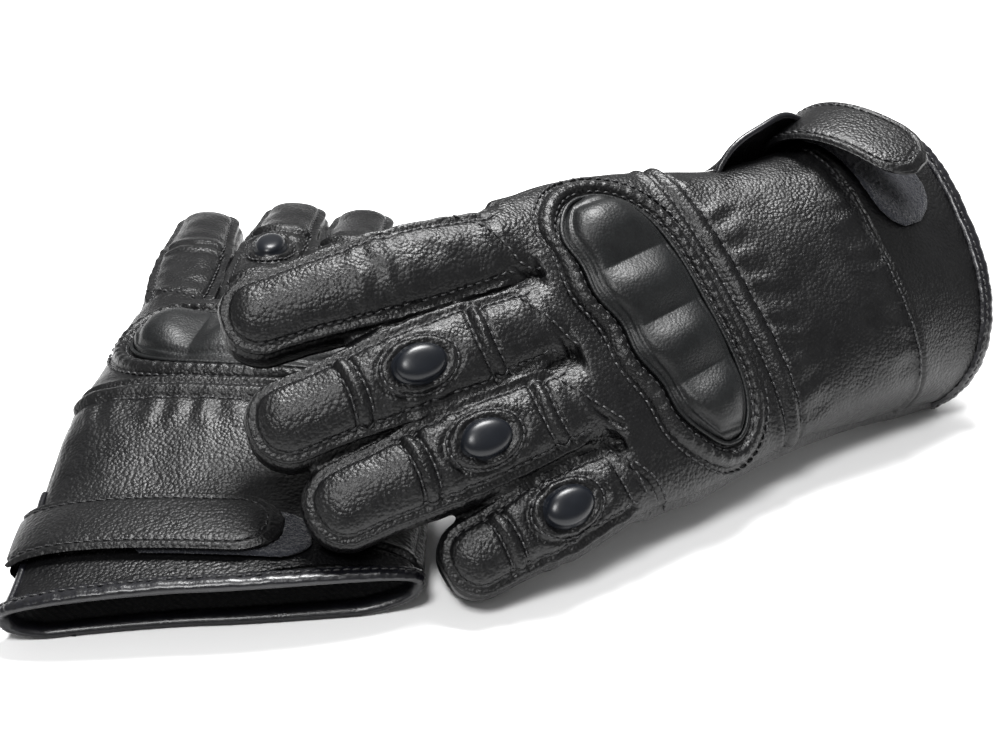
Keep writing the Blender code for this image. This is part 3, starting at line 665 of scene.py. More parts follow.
for glove in GLOVES:
    half_width, half_thick = THUMB_HALF
    x0, y0 = THUMB_ROOT
    setback = 2.0 * half_thick * THUMB_MOUTH
    top = min(palm_height(glove, x0, y0 + setback), palm_height(glove, x0, y0 + THUMB_LENGTH)) - THUMB_CLEAR
    angle = np.radians(np.arange(0, 360, 5.0))
    c, w = np.cos(angle), np.sin(angle)
    rings = []
    for t in np.linspace(0.0, 1.0, 70):
        s = (THUMB_LENGTH + half_width) * t
        close = math.sqrt(max(0.0004, 1.0 - max(0.0, (s - THUMB_LENGTH) / half_width) ** 2))
        grow = 1.0 + 0.03 * math.sin(s / 7.0)
        seam = 1.0 + 0.05 * bump(w + 0.1, 0.10) - 0.03 * bump(w - 0.25, 0.10) - 0.03 * bump(w + 0.42, 0.10)
        u = half_width * close * grow * seam * np.sign(c) * np.abs(c) ** 0.85
        z = half_thick * close ** 0.6 * grow * np.sign(w) * np.abs(w) ** 0.85 - half_thick
        y = s + np.maximum(0.0, setback + z * THUMB_MOUTH - s) * (1.0 - t)
        ring = np.stack([x0 + u * math.cos(THUMB_TURN) - y * math.sin(THUMB_TURN),
                         y0 + y * math.cos(THUMB_TURN) + u * math.sin(THUMB_TURN), top + z], -1)
        ring[:, 2] += 0.25 * np.array([noise.noise(Vector(p / 6.0)) for p in ring])
        ring[:, 2] = np.maximum(ring[:, 2], FLOOR_Z + 0.05) if glove.side < 0 else ring[:, 2]
        rings.append(ring)
    points, faces = tube(rings)
    square = [f for f in faces if len(f) == 4]
    piece = make_mesh(glove, f"{glove.name}_thumb_leather", points, square, GOATSKIN)
    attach(piece, f"{glove.name}_thumb")
    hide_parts(f"{glove.name}_thumb")

# ---------------------------------------------------------------------------------------------------------------
# The lining. A tube of brushed polyester knit hangs inside the hand, and a pleated tongue of the same cloth
# fills the vent at the thumb edge, so the cuff can open.


def knit(name, dark, light, rib_mm):
    """Brushed knit: soft ribs across the cloth with loose fibres over them, and a dull sheen."""
    made, tree, shader, place = blank(name)
    shader.inputs["Roughness"].default_value = 0.92
    shader.inputs["Sheen Weight"].default_value = 0.25
    shader.inputs["Sheen Roughness"].default_value = 0.5
    ribs = add(tree, "ShaderNodeTexWave", {"Vector": place}, Scale=0.31 / (rib_mm * MM), Distortion=2.5,
               Detail=2.0, bands_direction="DIAGONAL")
    fibres = add(tree, "ShaderNodeTexNoise", {"Vector": place}, Scale=1.2 / (rib_mm * MM), Detail=5.0)
    tint = add(tree, "ShaderNodeMixRGB", {"Fac": fibres.outputs["Fac"]}, Color1=linear(dark), Color2=linear(light))
    tree.links.new(tint.outputs["Color"], shader.inputs["Base Color"])
    rib = add(tree, "ShaderNodeBump", {"Height": ribs.outputs["Fac"]}, Strength=0.7, Distance=0.3 * MM)
    nap = add(tree, "ShaderNodeBump", {"Height": fibres.outputs["Fac"], "Normal": rib.outputs["Normal"]},
              Strength=0.8, Distance=0.35 * MM)
    tree.links.new(nap.outputs["Normal"], shader.inputs["Normal"])
    return made


LINING_KNIT = knit("brushed_lining_knit", "#08080a", "#131318", 1.4)
LINING_SINK = 2.6
TONGUE_ROWS, TONGUE_COLUMNS = 40, 33


for glove in GLOVES:
    degrees = np.arange(0, 360, 3.0)
    rings = []
    for t in np.linspace(0.0, 1.0, 50):
        start = glove.mouth(degrees) + 0.8
        y = start + (HAND_LENGTH - 12.0 - start) * t
        sink = LINING_SINK - 1.2 * (1.0 - float(smooth(t * 8.0)))
        ring = glove.point(y, degrees, -sink)
        ring += unit(ring - ring.mean(0)) * (0.5 * np.sin(np.radians(degrees) * 9 + 5 * t))[:, None] * smooth(t * 4)
        rings.append(ring)
    faces = ring_faces(len(rings), len(degrees))[:, ::-1]
    piece = make_mesh(glove, f"{glove.name}_lining_cloth", np.concatenate(rings), faces, LINING_KNIT)
    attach(piece, f"{glove.name}_hand")
    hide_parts(f"{glove.name}_lining")
    rows = []
    for t in np.linspace(0.0, 1.0, TONGUE_ROWS):
        degrees = np.linspace(-20.0, 20.0, TONGUE_COLUMNS)
        y = glove.mouth(degrees) + 2.0 + (VENT_END - 2.0) * t
        pleat = 0.7 * np.sin(np.linspace(0, 5 * math.pi, TONGUE_COLUMNS)) * (1 - t)
        rows.append(glove.point(y, degrees, -1.7) - np.stack([pleat, 0 * pleat, 0 * pleat], -1))
    faces = ring_faces(TONGUE_ROWS, TONGUE_COLUMNS, False)[:, ::-1]
    piece = make_mesh(glove, f"{glove.name}_vent_tongue", np.concatenate(rows), faces, LINING_KNIT)
    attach(piece, f"{glove.name}_hand")
    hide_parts(f"{glove.name}_gusset")

# ---------------------------------------------------------------------------------------------------------------
# The thread. Bonded nylon sewing thread, a little shinier than the leather: each stitch is a short rounded bar
# that dips into the leather at both ends.


def thread_finish(name, colour):
    """Twisted thread: fine slanted strands along each stitch."""
    made, tree, shader, place = blank(name)
    shader.inputs["Roughness"].default_value = 0.48
    twist = add(tree, "ShaderNodeTexWave", {"Vector": place}, Scale=900.0, Distortion=1.0,
                bands_direction="DIAGONAL")
    tint = add(tree, "ShaderNodeMixRGB", {"Fac": twist.outputs["Fac"]}, Color1=linear("#060608"),
               Color2=linear(colour))
    tree.links.new(tint.outputs["Color"], shader.inputs["Base Color"])
    strand = add(tree, "ShaderNodeBump", {"Height": twist.outputs["Fac"]}, Strength=0.5, Distance=0.1 * MM)
    tree.links.new(strand.outputs["Normal"], shader.inputs["Normal"])
    return made


BONDED_THREAD = thread_finish("bonded_thread", "#1c1c1e")
STITCH_PITCH = 3.1
STITCH_LENGTH = 2.5
STITCH_THICK = 0.95


def stitch_row(points, normals, pitch=STITCH_PITCH):
    """The centre, direction and normal of each stitch along a dense line of points."""
    run = np.concatenate([[0.0], np.cumsum(np.linalg.norm(np.diff(points, axis=0), axis=1))])
    at = np.arange(pitch / 2, run[-1] - 0.4 * pitch, pitch)
    way = at_lengths(run, points, at + 0.7) - at_lengths(run, points, at - 0.7)
    return at_lengths(run, points, at), unit(way), unit(at_lengths(run, normals, at))


def stitches(glove, name, rows, place):
    """One mesh of every stitch of the rows; place joins it to its body."""
    centre, way, normal = (np.concatenate([row[k] for row in rows]) for k in range(3))
    side = np.cross(way, normal)
    step = np.array([-0.5, -0.36, 0.0, 0.36, 0.5]) * STITCH_LENGTH
    wide = np.array([0.35, 0.85, 1.0, 0.85, 0.35]) * STITCH_THICK / 2
    rise = np.array([-0.42, 0.06, 0.26, 0.06, -0.42])
    turn = np.radians(np.arange(0, 360, 60.0))
    spine = centre[:, None] + way[:, None] * step[:, None] + normal[:, None] * rise[:, None]
    ring = side[:, None, None] * np.cos(turn)[:, None] + normal[:, None, None] * np.sin(turn)[:, None]
    points = (spine[:, :, None] + ring * wide[:, None, None]).reshape(-1, 3)
    one = ring_faces(len(step), len(turn))
    faces = (one[None] + np.arange(len(centre))[:, None, None] * len(step) * len(turn)).reshape(-1, 4)
    place(make_mesh(glove, name, points, faces, BONDED_THREAD))


def on_skin(skin, origins, ways, reach=200.0):
    """Where rays meet the skin, and its normals there; a ray that meets nothing is left out."""
    points, normals = [], []
    for origin, way in zip(origins, ways):
        hit, normal, _, _ = skin["tree"].ray_cast(Vector(origin), Vector(way), reach)
        if hit is not None:
            points.append(tuple(hit))
            normals.append(tuple(normal))
    return np.array(points), np.array(normals)


def above(skin, x, y):
    """The skin of the back at (x, y), found from straight above."""
    x, y = np.broadcast_arrays(np.asarray(x, float), np.asarray(y, float))
    origins = np.stack([x, y, np.full(x.shape, 90.0)], -1)
    return on_skin(skin, origins, np.broadcast_to([0.0, 0.0, -1.0], origins.shape))


for glove in GLOVES:
    skin = SKINS[glove.name]
    x = np.linspace(47.0, -46.0, 90)
    rows = [stitch_row(*above(skin, x, wrist_seam(x) + off)) for off in (-3.8, 3.8)]
    x = np.linspace(46.0, -46.0, 90)
    rows.append(stitch_row(*above(skin, x, cuff_seam(x) + 2.4)))
    for line in FINGER_SEAMS:
        corner = np.array(line, float)
        run = np.linspace(0, len(line) - 1.001, 40)
        path = np.stack([np.interp(run, range(len(line)), corner[:, k]) for k in range(2)], -1)
        rows.append(stitch_row(*above(skin, path[:, 0] + 0.8, path[:, 1] - 2.6)))
    stitches(glove, f"{glove.name}_seam_stitches", rows, lambda piece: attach(piece, f"{glove.name}_hand"))
    for finger, path in glove.fingers.items():
        steps, centre, _, up = finger_spine(path)
        split = path["base"] - TIP_SPLIT

        def frame_at(s):
            return at_lengths(steps, centre, s), unit(at_lengths(steps, up, s))

        rows = {"base": [], "tip": []}
        level = PANEL_LEVEL * path["half_thick"] * RELIEF_DEEP + 1.7
        for part, low, high in (("base", 3.0, split - 1.0), ("tip", split + 1.0, path["base"] + path["tip"] + 5.0)):
            s = np.arange(low, high, 1.0)
            middle, rise = frame_at(s)
            for sign in (-1.0, 1.0):
                points, normals = on_skin(skin, middle + rise * level, np.broadcast_to(path["side"] * sign,
                                          middle.shape), path["half_width"] * 1.35)
                if len(points) > 6:
                    rows[part].append(stitch_row(points, normals))
        if finger in DOMED:
            dome = dome_at(glove, finger)
            for at, bow in [(dome + off + row, bow) for off, bow in FOLDS for row in (-FOLD_ROWS, FOLD_ROWS)]:
                u = np.linspace(-0.62, 0.62, 30) * path["half_width"]
                middle, rise = frame_at(at + bow * u ** 2)
                found = on_skin(skin, middle + u[:, None] * path["side"], rise, 30.0)
                rows["base" if at < split else "tip"].append(stitch_row(*found, pitch=2.8))
        for part, found in rows.items():
            if found:
                stitches(glove, f"{glove.name}_{finger}_{part}_stitches", found,
                         lambda piece: join_finger(glove, finger, part, piece))

# ---------------------------------------------------------------------------------------------------------------
# The cuff's edge. A strip of thin glossy leather is folded over the mouth and sewn through near its inner edge,
# and a narrower roll of it edges the vent.

BINDING_DEEP = 4.6
BINDING_STITCH_AT = 3.1
BINDING_PROFILE = ((BINDING_DEEP, -2.5), (2.2, -2.7), (0.3, -2.2), (-0.8, -1.2), (-1.1, 0.0), (-0.5, 1.0),
                   (0.8, 1.5), (2.2, 1.5), (BINDING_STITCH_AT, 1.15), (3.9, 1.4), (BINDING_DEEP, 1.1),
                   (BINDING_DEEP + 0.5, 0.1))
VENT_PIPING = 1.25


def hand_side(glove, y, degrees, lift):
    """A point of the pattern's skin and its outward direction."""
    low = glove.point(y, degrees, lift)
    return low, unit(glove.point(y, degrees, lift + 1.0) - low)


def rod(line, radius, count=10):
    """A round tube along a dense line of points."""
    way = unit(np.gradient(line, axis=0))
    side = unit(np.cross(way, [0.0, 0.0, 1.0]) + 1e-6)
    top = np.cross(side, way)
    turn = np.radians(np.arange(count) * 360.0 / count)
    ring = side[:, None] * np.cos(turn)[:, None] + top[:, None] * np.sin(turn)[:, None]
    return (line[:, None] + ring * np.asarray(radius).reshape(-1, 1, 1)).reshape(-1, 3), ring_faces(len(line), count)


for glove in GLOVES:
    degrees = np.arange(0, 360, 1.5)
    pucker = 0.16 * np.sin(np.arange(len(degrees)) * 2.1) + 0.12 * np.sin(np.arange(len(degrees)) * 0.83)
    rings = [glove.point(y + glove.mouth(degrees), degrees, lift + (pucker if lift > 0 else 0))
             for y, lift in BINDING_PROFILE]
    points = np.concatenate(rings)
    faces = ring_faces(len(rings), len(degrees))
    piece = make_mesh(glove, f"{glove.name}_cuff_edge", points, faces, BINDING_SKIVER)
    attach(piece, f"{glove.name}_hand")
    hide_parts(f"{glove.name}_cuff_binding")
    line, normal = hand_side(glove, glove.mouth(degrees) + BINDING_STITCH_AT, degrees, 1.2)
    stitches(glove, f"{glove.name}_cuff_edge_stitches", [stitch_row(line, normal, pitch=2.9)],
             lambda piece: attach(piece, f"{glove.name}_hand"))
    t = np.linspace(0.0, 1.0, 60)
    slit = VENT_HALF * np.sqrt(1.0 - t ** 2)
    low_end = float(glove.mouth(0.0)) + 1.0
    y = low_end + (VENT_END - low_end) * t
    sides = []
    for sign in (1.0, -1.0):
        level = slit * sign
        deep = along(glove.backs if sign > 0 else glove.palms, y)
        round_off = (1.0 - np.minimum(0.9, np.abs(level) / deep) ** SECTION_POWER) ** (1.0 / SECTION_POWER)
        half = along(glove.widths, y) * (1.0 + along(glove.leans, y)) * round_off
        sides.append(np.stack([half + 0.3, y, along(glove.waists, y) + level], -1))
    line = np.concatenate([sides[0], sides[1][::-1][1:]])
    points, faces = rod(line, VENT_PIPING)
    piece = make_mesh(glove, f"{glove.name}_vent_piping", points, faces, BINDING_SKIVER)
    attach(piece, f"{glove.name}_hand")

# ---------------------------------------------------------------------------------------------------------------
# The knuckle guard. Foam moulded under smooth leather into four rounded lobes, one for each knuckle and the
# largest by the thumb; a bead is pressed round it, and a padded roll of the glove's leather frames it.

GUARD_ENDS = (48.0, -43.0)
GUARD_AT = (131.0, 117.0)
GUARD_HALF = (20.3, 13.6)
GUARD_LOBES = ((0.13, 1.15), (0.385, 0.95), (0.62, 0.9), (0.85, 0.85))
GUARD_RISE = 5.2
LOBE_REACH = 0.112
GUARD_GRID = (220, 80)
BEAD_OUT, BEAD_RADIUS = 0.8, 0.85
ROLL_OUT, ROLL_WIDE, ROLL_HIGH = 1.8, 6.6, 3.1
ROLL_ROWS = 15


def guard_edges(u, grow=0.0):
    """The guard's x, near y and far y at u, from 0 at its thumb end to 1 at its little-finger end."""
    u = np.asarray(u, float)
    x = GUARD_ENDS[0] + grow + (GUARD_ENDS[1] - GUARD_ENDS[0] - 2.0 * grow) * u
    middle = GUARD_AT[0] + (GUARD_AT[1] - GUARD_AT[0]) * u
    half = GUARD_HALF[0] + (GUARD_HALF[1] - GUARD_HALF[0]) * u + grow
    taper = np.sqrt(np.maximum(0.0, 1.0 - np.abs(2.0 * u - 1.0) ** 4.0))
    wave = 1.0 * np.cos(2.0 * np.pi * (u - 0.13) / 0.24)
    return x, middle - half * taper, middle + (half + wave) * taper


def guard_line(grow, count=360):
    """The guard's outline grown outward, evenly spaced, as x and y."""
    turn = np.radians(np.arange(0, 361, 0.5))
    u = np.clip(0.5 - 0.5 * np.cos(turn), 0.002, 0.998)
    x, near, far = guard_edges(u, grow)
    y = np.where(np.sin(turn) >= 0, far, near)
    for _ in range(6):
        x = (np.roll(x[:-1], 1) + 2 * x[:-1] + np.roll(x[:-1], -1)) / 4
        y = (np.roll(y[:-1], 1) + 2 * y[:-1] + np.roll(y[:-1], -1)) / 4
        x, y = np.append(x, x[0]), np.append(y, y[0])
    run = np.concatenate([[0.0], np.cumsum(np.hypot(np.diff(x), np.diff(y)))])
    at = np.linspace(0.0, run[-1], count, endpoint=False)
    return np.interp(at, run, x), np.interp(at, run, y)


for glove in GLOVES:
    u = np.linspace(0.0015, 0.9985, GUARD_GRID[0])
    v = np.linspace(0.0, 1.0, GUARD_GRID[1])
    uu, vv = np.meshgrid(u, v, indexing="ij")
    x, near, far = guard_edges(uu)
    y = near + (far - near) * vv
    inside = np.minimum(np.minimum(vv, 1 - vv) * (far - near), np.minimum(uu, 1 - uu) * 60.0)
    lobes = np.zeros_like(uu)
    for at, size in GUARD_LOBES:
        reach = LOBE_REACH * size
        middle = np.abs((uu - at - 0.05 * (vv - 0.5)) / reach)
        lobes = np.maximum(lobes, size * np.exp(-middle ** 2.2) * np.exp(-np.abs((vv - 0.5) / 0.40) ** 3.0))
    lift = 0.5 + 1.1 * smooth(inside / 1.6) + 1.3 * smooth((inside - 1.2) / 4.0) + GUARD_RISE * lobes
    lift -= 0.7 * bump(inside - 2.6, 0.7)
    points = glove.back_at(x, y, lift).reshape(-1, 3)
    piece = make_mesh(glove, f"{glove.name}_guard_leather", points, ring_faces(*GUARD_GRID, False), MOULDED_GOATSKIN)
    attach(piece, f"{glove.name}_hand")
    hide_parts(f"{glove.name}_knuckle_guard", f"{glove.name}_knuckle_foam")
    x, y = guard_line(BEAD_OUT)
    line = glove.back_at(x, y, 1.0)
    points, faces = rod(np.concatenate([line, line[:1]]), BEAD_RADIUS, 8)
    piece = make_mesh(glove, f"{glove.name}_guard_bead", points, faces, MOULDED_GOATSKIN)
    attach(piece, f"{glove.name}_hand")
    rows = []
    for mix in np.linspace(0.0, 1.0, ROLL_ROWS):
        x, y = guard_line(ROLL_OUT + ROLL_WIDE * mix)
        ripple = 0.16 * np.sin(np.arange(len(x)) * 1.05) * math.sin(math.pi * mix)
        lift = -0.4 + ROLL_HIGH * math.sin(math.pi * mix) ** 0.75 - 0.8 * float(bump(mix - 0.16, 0.07)) + ripple
        rows.append(glove.back_at(x, y, lift))
    faces = ring_faces(ROLL_ROWS, len(x))
    piece = make_mesh(glove, f"{glove.name}_guard_roll", np.concatenate(rows), faces, GOATSKIN)
    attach(piece, f"{glove.name}_hand")
    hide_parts(f"{glove.name}_guard_surround")
    rows = []
    for grow, lift in ((2.9, 0.7), (9.6, 0.2)):
        x, y = guard_line(grow)
        rows.append(stitch_row(glove.back_at(x, y, lift), unit(glove.back_at(x, y, 1.0) - glove.back_at(x, y, 0.0))))
    stitches(glove, f"{glove.name}_guard_stitches", rows, lambda piece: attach(piece, f"{glove.name}_hand"))

# ---------------------------------------------------------------------------------------------------------------
# The finger domes. Oval caps of moulded TPU with a satin blue-black skin stand through the leather over the
# middle knuckles of three fingers; each sits in a stitched leather ring.

DOME_HALF = (8.6, 6.0)
DOME_RISE = 4.3
DOME_PROFILE = ((1.10, -2.0), (1.10, -0.3), (1.04, 0.5), (0.99, 0.9), (0.97, 1.6), (0.93, 2.3), (0.85, 3.0),
                (0.72, 3.6), (0.55, 4.0), (0.35, 4.2), (0.12, DOME_RISE))
DOME_RING = (4.0, 3.0)


def moulded(name, dark, light, rough):
    """Moulded plastic: even colour, with a faint orange peel and rubbed spots."""
    made, tree, shader, place = blank(name)
    shader.inputs["IOR"].default_value = 1.5
    shader.inputs["Specular IOR Level"].default_value = 0.36
    peel = add(tree, "ShaderNodeTexNoise", {"Vector": place}, Scale=900.0, Detail=3.0)
    rub = add(tree, "ShaderNodeTexNoise", {"Vector": place}, Scale=160.0, Detail=4.0)
    tint = add(tree, "ShaderNodeMixRGB", {"Fac": rub.outputs["Fac"]}, Color1=linear(dark), Color2=linear(light))
    tree.links.new(tint.outputs["Color"], shader.inputs["Base Color"])
    shine = add(tree, "ShaderNodeMapRange", {"Value": rub.outputs["Fac"]}, in_3=rough - 0.05, in_4=rough + 0.08)
    tree.links.new(shine.outputs["Result"], shader.inputs["Roughness"])
    skin_bump = add(tree, "ShaderNodeBump", {"Height": peel.outputs["Fac"]}, Strength=0.5, Distance=0.05 * MM)
    tree.links.new(skin_bump.outputs["Normal"], shader.inputs["Normal"])
    return made


DOME_TPU = moulded("moulded_tpu", "#06080d", "#0b0f16", 0.31)

for glove in GLOVES:
    skin = SKINS[glove.name]
    for finger in DOMED:
        path = glove.fingers[finger]
        at = dome_at(glove, finger)
        forward = path["ways"][1]
        rise = unit(np.cross(path["side"], forward))
        foot = path["knuckle"] + forward * at - rise * path["half_thick"]
        found, _ = on_skin(skin, [foot], [rise], 40.0)
        seat = found[0] if len(found) else foot + rise * (path["half_thick"] + 1.0)
        angle = np.radians(np.arange(0, 360, 7.5))
        seat = seat - rise * 0.5
        rings = []
        for reach, high in DOME_PROFILE:
            rings.append(seat + np.outer(np.cos(angle) * DOME_HALF[1] * reach, path["side"])
                         + np.outer(np.sin(angle) * DOME_HALF[0] * reach, forward) + rise * high)
        points = np.concatenate([np.concatenate(rings), [seat + rise * (DOME_RISE + 0.02)]])
        top, count = len(points) - 1, len(angle)
        fan = [[top - count + k, top - count + (k + 1) % count, top] for k in range(count)]
        faces = ring_faces(len(rings), count).tolist() + fan
        piece = make_mesh(glove, f"{glove.name}_{finger}_cap", points, faces, DOME_TPU)
        body = finger_body(glove, finger)
        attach(piece, body)
        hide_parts(f"{glove.name}_{finger}_dome")
        angle = np.radians(np.arange(0, 361, 5.0))
        foot = (seat + np.outer(np.cos(angle) * (DOME_HALF[1] + DOME_RING[1]), path["side"])
                + np.outer(np.sin(angle) * (DOME_HALF[0] + DOME_RING[0]), forward) - rise * 7.0)
        found = on_skin(skin, foot, np.broadcast_to(rise, foot.shape), 25.0)
        if len(found[0]) > 10:
            stitches(glove, f"{glove.name}_{finger}_cap_stitches", [stitch_row(*found, pitch=2.6)],
                     lambda piece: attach(piece, body))

# ---------------------------------------------------------------------------------------------------------------
# The wrist strap. Two layers of leather sewn round their edge, with a rounded end; it comes out of the vent,
# and its hook pad grips the loop pad on the cuff.

STRAP_LIE = {"left": (72.0, 19.0, 19.0, 16.0, 13.5), "right": (90.0, 0.0, 0.0, 44.0, 28.0)}
STRAP_AT = 30.0
STRAP_HALF = 13.5
STRAP_LIFT = 2.6
STRAP_THICK = 2.1
STRAP_HEM = 3.0
STRAP_START = 5.0
STRAP_STITCH_FROM = 6.0
ROOT_ROWS, ROOT_COLUMNS = 14, 25
PAD_HALF = 11.0
LOOP_LENGTH, LOOP_THICK, LOOP_WIDER = 52.0, 1.4, 3.0
HOOK_LENGTH, HOOK_FROM_TIP, HOOK_THICK = 30.0, 5.0, 0.9


def over_back(glove, y, length, lift):
    """The point at a length from the thumb edge, round the section at y."""
    degrees = np.linspace(0.0, 180.0, 181)
    line = glove.point(np.full(degrees.shape, float(y)), degrees, lift)
    run = np.concatenate([[0.0], np.cumsum(np.linalg.norm(np.diff(line, axis=0), axis=1))])
    return at_lengths(run, line, np.atleast_1d(length))


def band(glove, start, length, half, at, lift, thick, groove, rows=70, columns=33, rough=0.0):
    """A closed strip wrapped over the cuff with one round end: top and under side in one loop for each row."""
    t = np.linspace(0.0, 1.0, rows)
    far = start + length
    reach = np.maximum(0.02, length * (1.0 - t ** 0.8))
    run = far - reach
    wide = half * np.sqrt(1.0 - np.maximum(0.0, 1.0 - reach / half) ** 2)
    across = np.sin(np.linspace(-math.pi / 2, math.pi / 2, columns))
    grid = {side: np.zeros((rows, columns, 3)) for side in ("top", "under")}
    for k, a in enumerate(across):
        for i in range(rows):
            edge = min(wide[i] * (1 - abs(a)), reach[i])
            fall = thick * (1 - smooth(edge / 1.1)) * 0.5
            dip = 0.5 * float(bump(edge - STRAP_HEM, 0.75)) if groove else 0.0
            fuzz = rough * noise.noise(Vector((run[i] * 0.9, a * half * 0.9, 3.0)))
            crown = 0.25 * (1 - a * a) if groove else 0.0
            y = at + a * wide[i]
            grid["top"][i, k] = over_back(glove, y, run[i], lift + thick - fall - dip + crown + fuzz)[0]
            grid["under"][i, k] = over_back(glove, y, run[i], lift + fall)[0]
    loops = np.concatenate([grid["top"], grid["under"][:, ::-1]], axis=1)
    return loops.reshape(-1, 3), ring_faces(rows, 2 * columns)


def pile(name, dark, light, loop_mm, sheen):
    """Nylon pile of a hook-and-loop pad: tangled loops in fine tufts."""
    made, tree, shader, place = blank(name)
    shader.inputs["Roughness"].default_value = 0.9
    shader.inputs["Sheen Weight"].default_value = sheen
    shader.inputs["Sheen Roughness"].default_value = 0.35
    tufts = add(tree, "ShaderNodeTexVoronoi", {"Vector": place}, Scale=1 / (loop_mm * MM))
    tangle = add(tree, "ShaderNodeTexNoise", {"Vector": place}, Scale=1.6 / (loop_mm * MM), Detail=6.0,
                 Distortion=2.0)
    tint = add(tree, "ShaderNodeMixRGB", {"Fac": tangle.outputs["Fac"]}, Color1=linear(dark), Color2=linear(light))
    tree.links.new(tint.outputs["Color"], shader.inputs["Base Color"])
    first = add(tree, "ShaderNodeBump", {"Height": tufts.outputs["Distance"]}, Strength=1.0, Distance=0.4 * MM,
                invert=True)
    second = add(tree, "ShaderNodeBump", {"Height": tangle.outputs["Fac"], "Normal": first.outputs["Normal"]},
                 Strength=1.0, Distance=0.5 * MM)
    tree.links.new(second.outputs["Normal"], shader.inputs["Normal"])
    return made


LOOP_PILE = pile("nylon_loop_pile", "#07080e", "#151824", 0.9, 0.18)
HOOK_PILE = pile("nylon_hook_pile", "#08080a", "#16161a", 1.3, 0.1)


def folded(glove, points):
    """Turns points of the strap with it, about its fold at the thumb edge."""
    _, opened, turned, _, _ = STRAP_LIE[glove.name]
    fold = glove.point(STRAP_AT, 4.0, STRAP_LIFT + 0.6)
    turn = (Matrix.Rotation(math.radians(turned), 3, "Z") @ Matrix.Rotation(math.radians(opened), 3, "Y"))
    return fold + (np.asarray(points) - fold) @ np.array(turn).T


for glove in GLOVES:
    length, _, _, pad_start, pad_at = STRAP_LIE[glove.name]
    points, faces = band(glove, STRAP_START, length - STRAP_START, STRAP_HALF, STRAP_AT, STRAP_LIFT,
                         STRAP_THICK, True)
    piece = make_mesh(glove, f"{glove.name}_strap_leather", folded(glove, points), faces, GOATSKIN)
    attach(piece, f"{glove.name}_strap")
    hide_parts(f"{glove.name}_strap")
    across = STRAP_HALF * np.sin(np.linspace(-1.5, 1.5, ROOT_COLUMNS)) * 0.97
    far = folded(glove, np.array([over_back(glove, STRAP_AT + a, 8.0, STRAP_LIFT + 1.0)[0] for a in across]))
    near = glove.point(STRAP_AT + across, np.full(ROOT_COLUMNS, -7.0), -2.0)
    rows = [near + (far - near) * k + np.array([3.0, 0.0, 0.0]) * math.sin(math.pi * k)
            for k in np.linspace(0.0, 1.0, ROOT_ROWS)]
    rows += [row - np.array([1.4, 0.0, 0.3]) for row in rows[::-1]]
    faces = ring_faces(2 * ROOT_ROWS, ROOT_COLUMNS, False)
    piece = make_mesh(glove, f"{glove.name}_strap_root", np.concatenate(rows), faces, GOATSKIN)
    tuple(glove.world(near[ROOT_COLUMNS // 2]))
    tuple(glove.world(far[ROOT_COLUMNS // 2]))
    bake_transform(piece)
    t = np.linspace(0.0, 1.0, 200)
    straight = length - STRAP_HALF - STRAP_STITCH_FROM
    inner = STRAP_HALF - STRAP_HEM
    outline = [(STRAP_STITCH_FROM + straight * k, inner) for k in t] + [
        (length - STRAP_HALF + inner * math.cos(k), inner * math.sin(k)) for k in np.linspace(1.5, -1.5, 60)] + [
        (STRAP_STITCH_FROM + straight * k, -inner) for k in t[::-1]]
    line = np.array([over_back(glove, STRAP_AT + off, run, STRAP_LIFT + 1.9)[0] for run, off in outline])
    lifted = np.array([over_back(glove, STRAP_AT + off, run, STRAP_LIFT + 2.9)[0] for run, off in outline])
    line, lifted = folded(glove, line), folded(glove, lifted)
    stitches(glove, f"{glove.name}_strap_stitches", [stitch_row(line, unit(lifted - line))],
             lambda piece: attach(piece, f"{glove.name}_strap"))
    points, faces = band(glove, length - HOOK_FROM_TIP - HOOK_LENGTH, HOOK_LENGTH, PAD_HALF - 1.0, STRAP_AT,
                         STRAP_LIFT - HOOK_THICK, HOOK_THICK, False, 30, 15, 0.15)
    piece = make_mesh(glove, f"{glove.name}_strap_hooks", folded(glove, points), faces, HOOK_PILE)
    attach(piece, f"{glove.name}_strap")
    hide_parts(f"{glove.name}_hook_patch")
    wide = PAD_HALF + (LOOP_WIDER if glove is LEFT else 0.0)
    points, faces = band(glove, pad_start, LOOP_LENGTH, wide, pad_at, 0.5, LOOP_THICK, False, 110, 51, 0.5)
    piece = make_mesh(glove, f"{glove.name}_cuff_loops", points, faces, LOOP_PILE)
    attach(piece, f"{glove.name}_hand")
    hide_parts(f"{glove.name}_loop_patch")

# ---------------------------------------------------------------------------------------------------------------
# The vent's lip. On the open glove the leather beside the vent stands up in a fold at the foot of the strap; its
# edge is rolled, and the dark lining shows inside it.

LIP_ALONG = (70.0, 18.0)
LIP_HIGH = 10.5
LIP_ROWS, LIP_COLUMNS = 16, 60

t = np.linspace(0.0, 1.0, LIP_COLUMNS)
foot_at = LIP_ALONG[0] + (LIP_ALONG[1] - LIP_ALONG[0]) * t
high = LIP_HIGH * np.sin(np.pi * t ** 0.9) ** 0.8
rows = []
for v in np.linspace(0.0, 1.0, LIP_ROWS):
    foot = LEFT.point(foot_at, 7.0 + 16.0 * v, 0.4)
    curl = np.stack([high * v, -3.0 * v * np.sin(np.pi * t), high * 0.75 * v ** 2], -1)
    wave = 0.5 * np.sin(t * 14.0)[:, None] * v * np.array([1.0, 0.0, 0.4])
    rows.append(foot + curl + wave)
inner = [row - np.array([1.5, 0.0, 0.2]) for row in rows[::-1]]
faces = ring_faces(2 * LIP_ROWS, LIP_COLUMNS, False)
piece = make_mesh(LEFT, "left_vent_lip", np.concatenate(rows + inner), faces, GOATSKIN)
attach(piece, "left_hand")
points, faces = rod(rows[-1] - np.array([0.7, 0.0, 0.1]), 1.3)
piece = make_mesh(LEFT, "left_vent_lip_roll", points, faces, BINDING_SKIVER)
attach(piece, "left_hand")

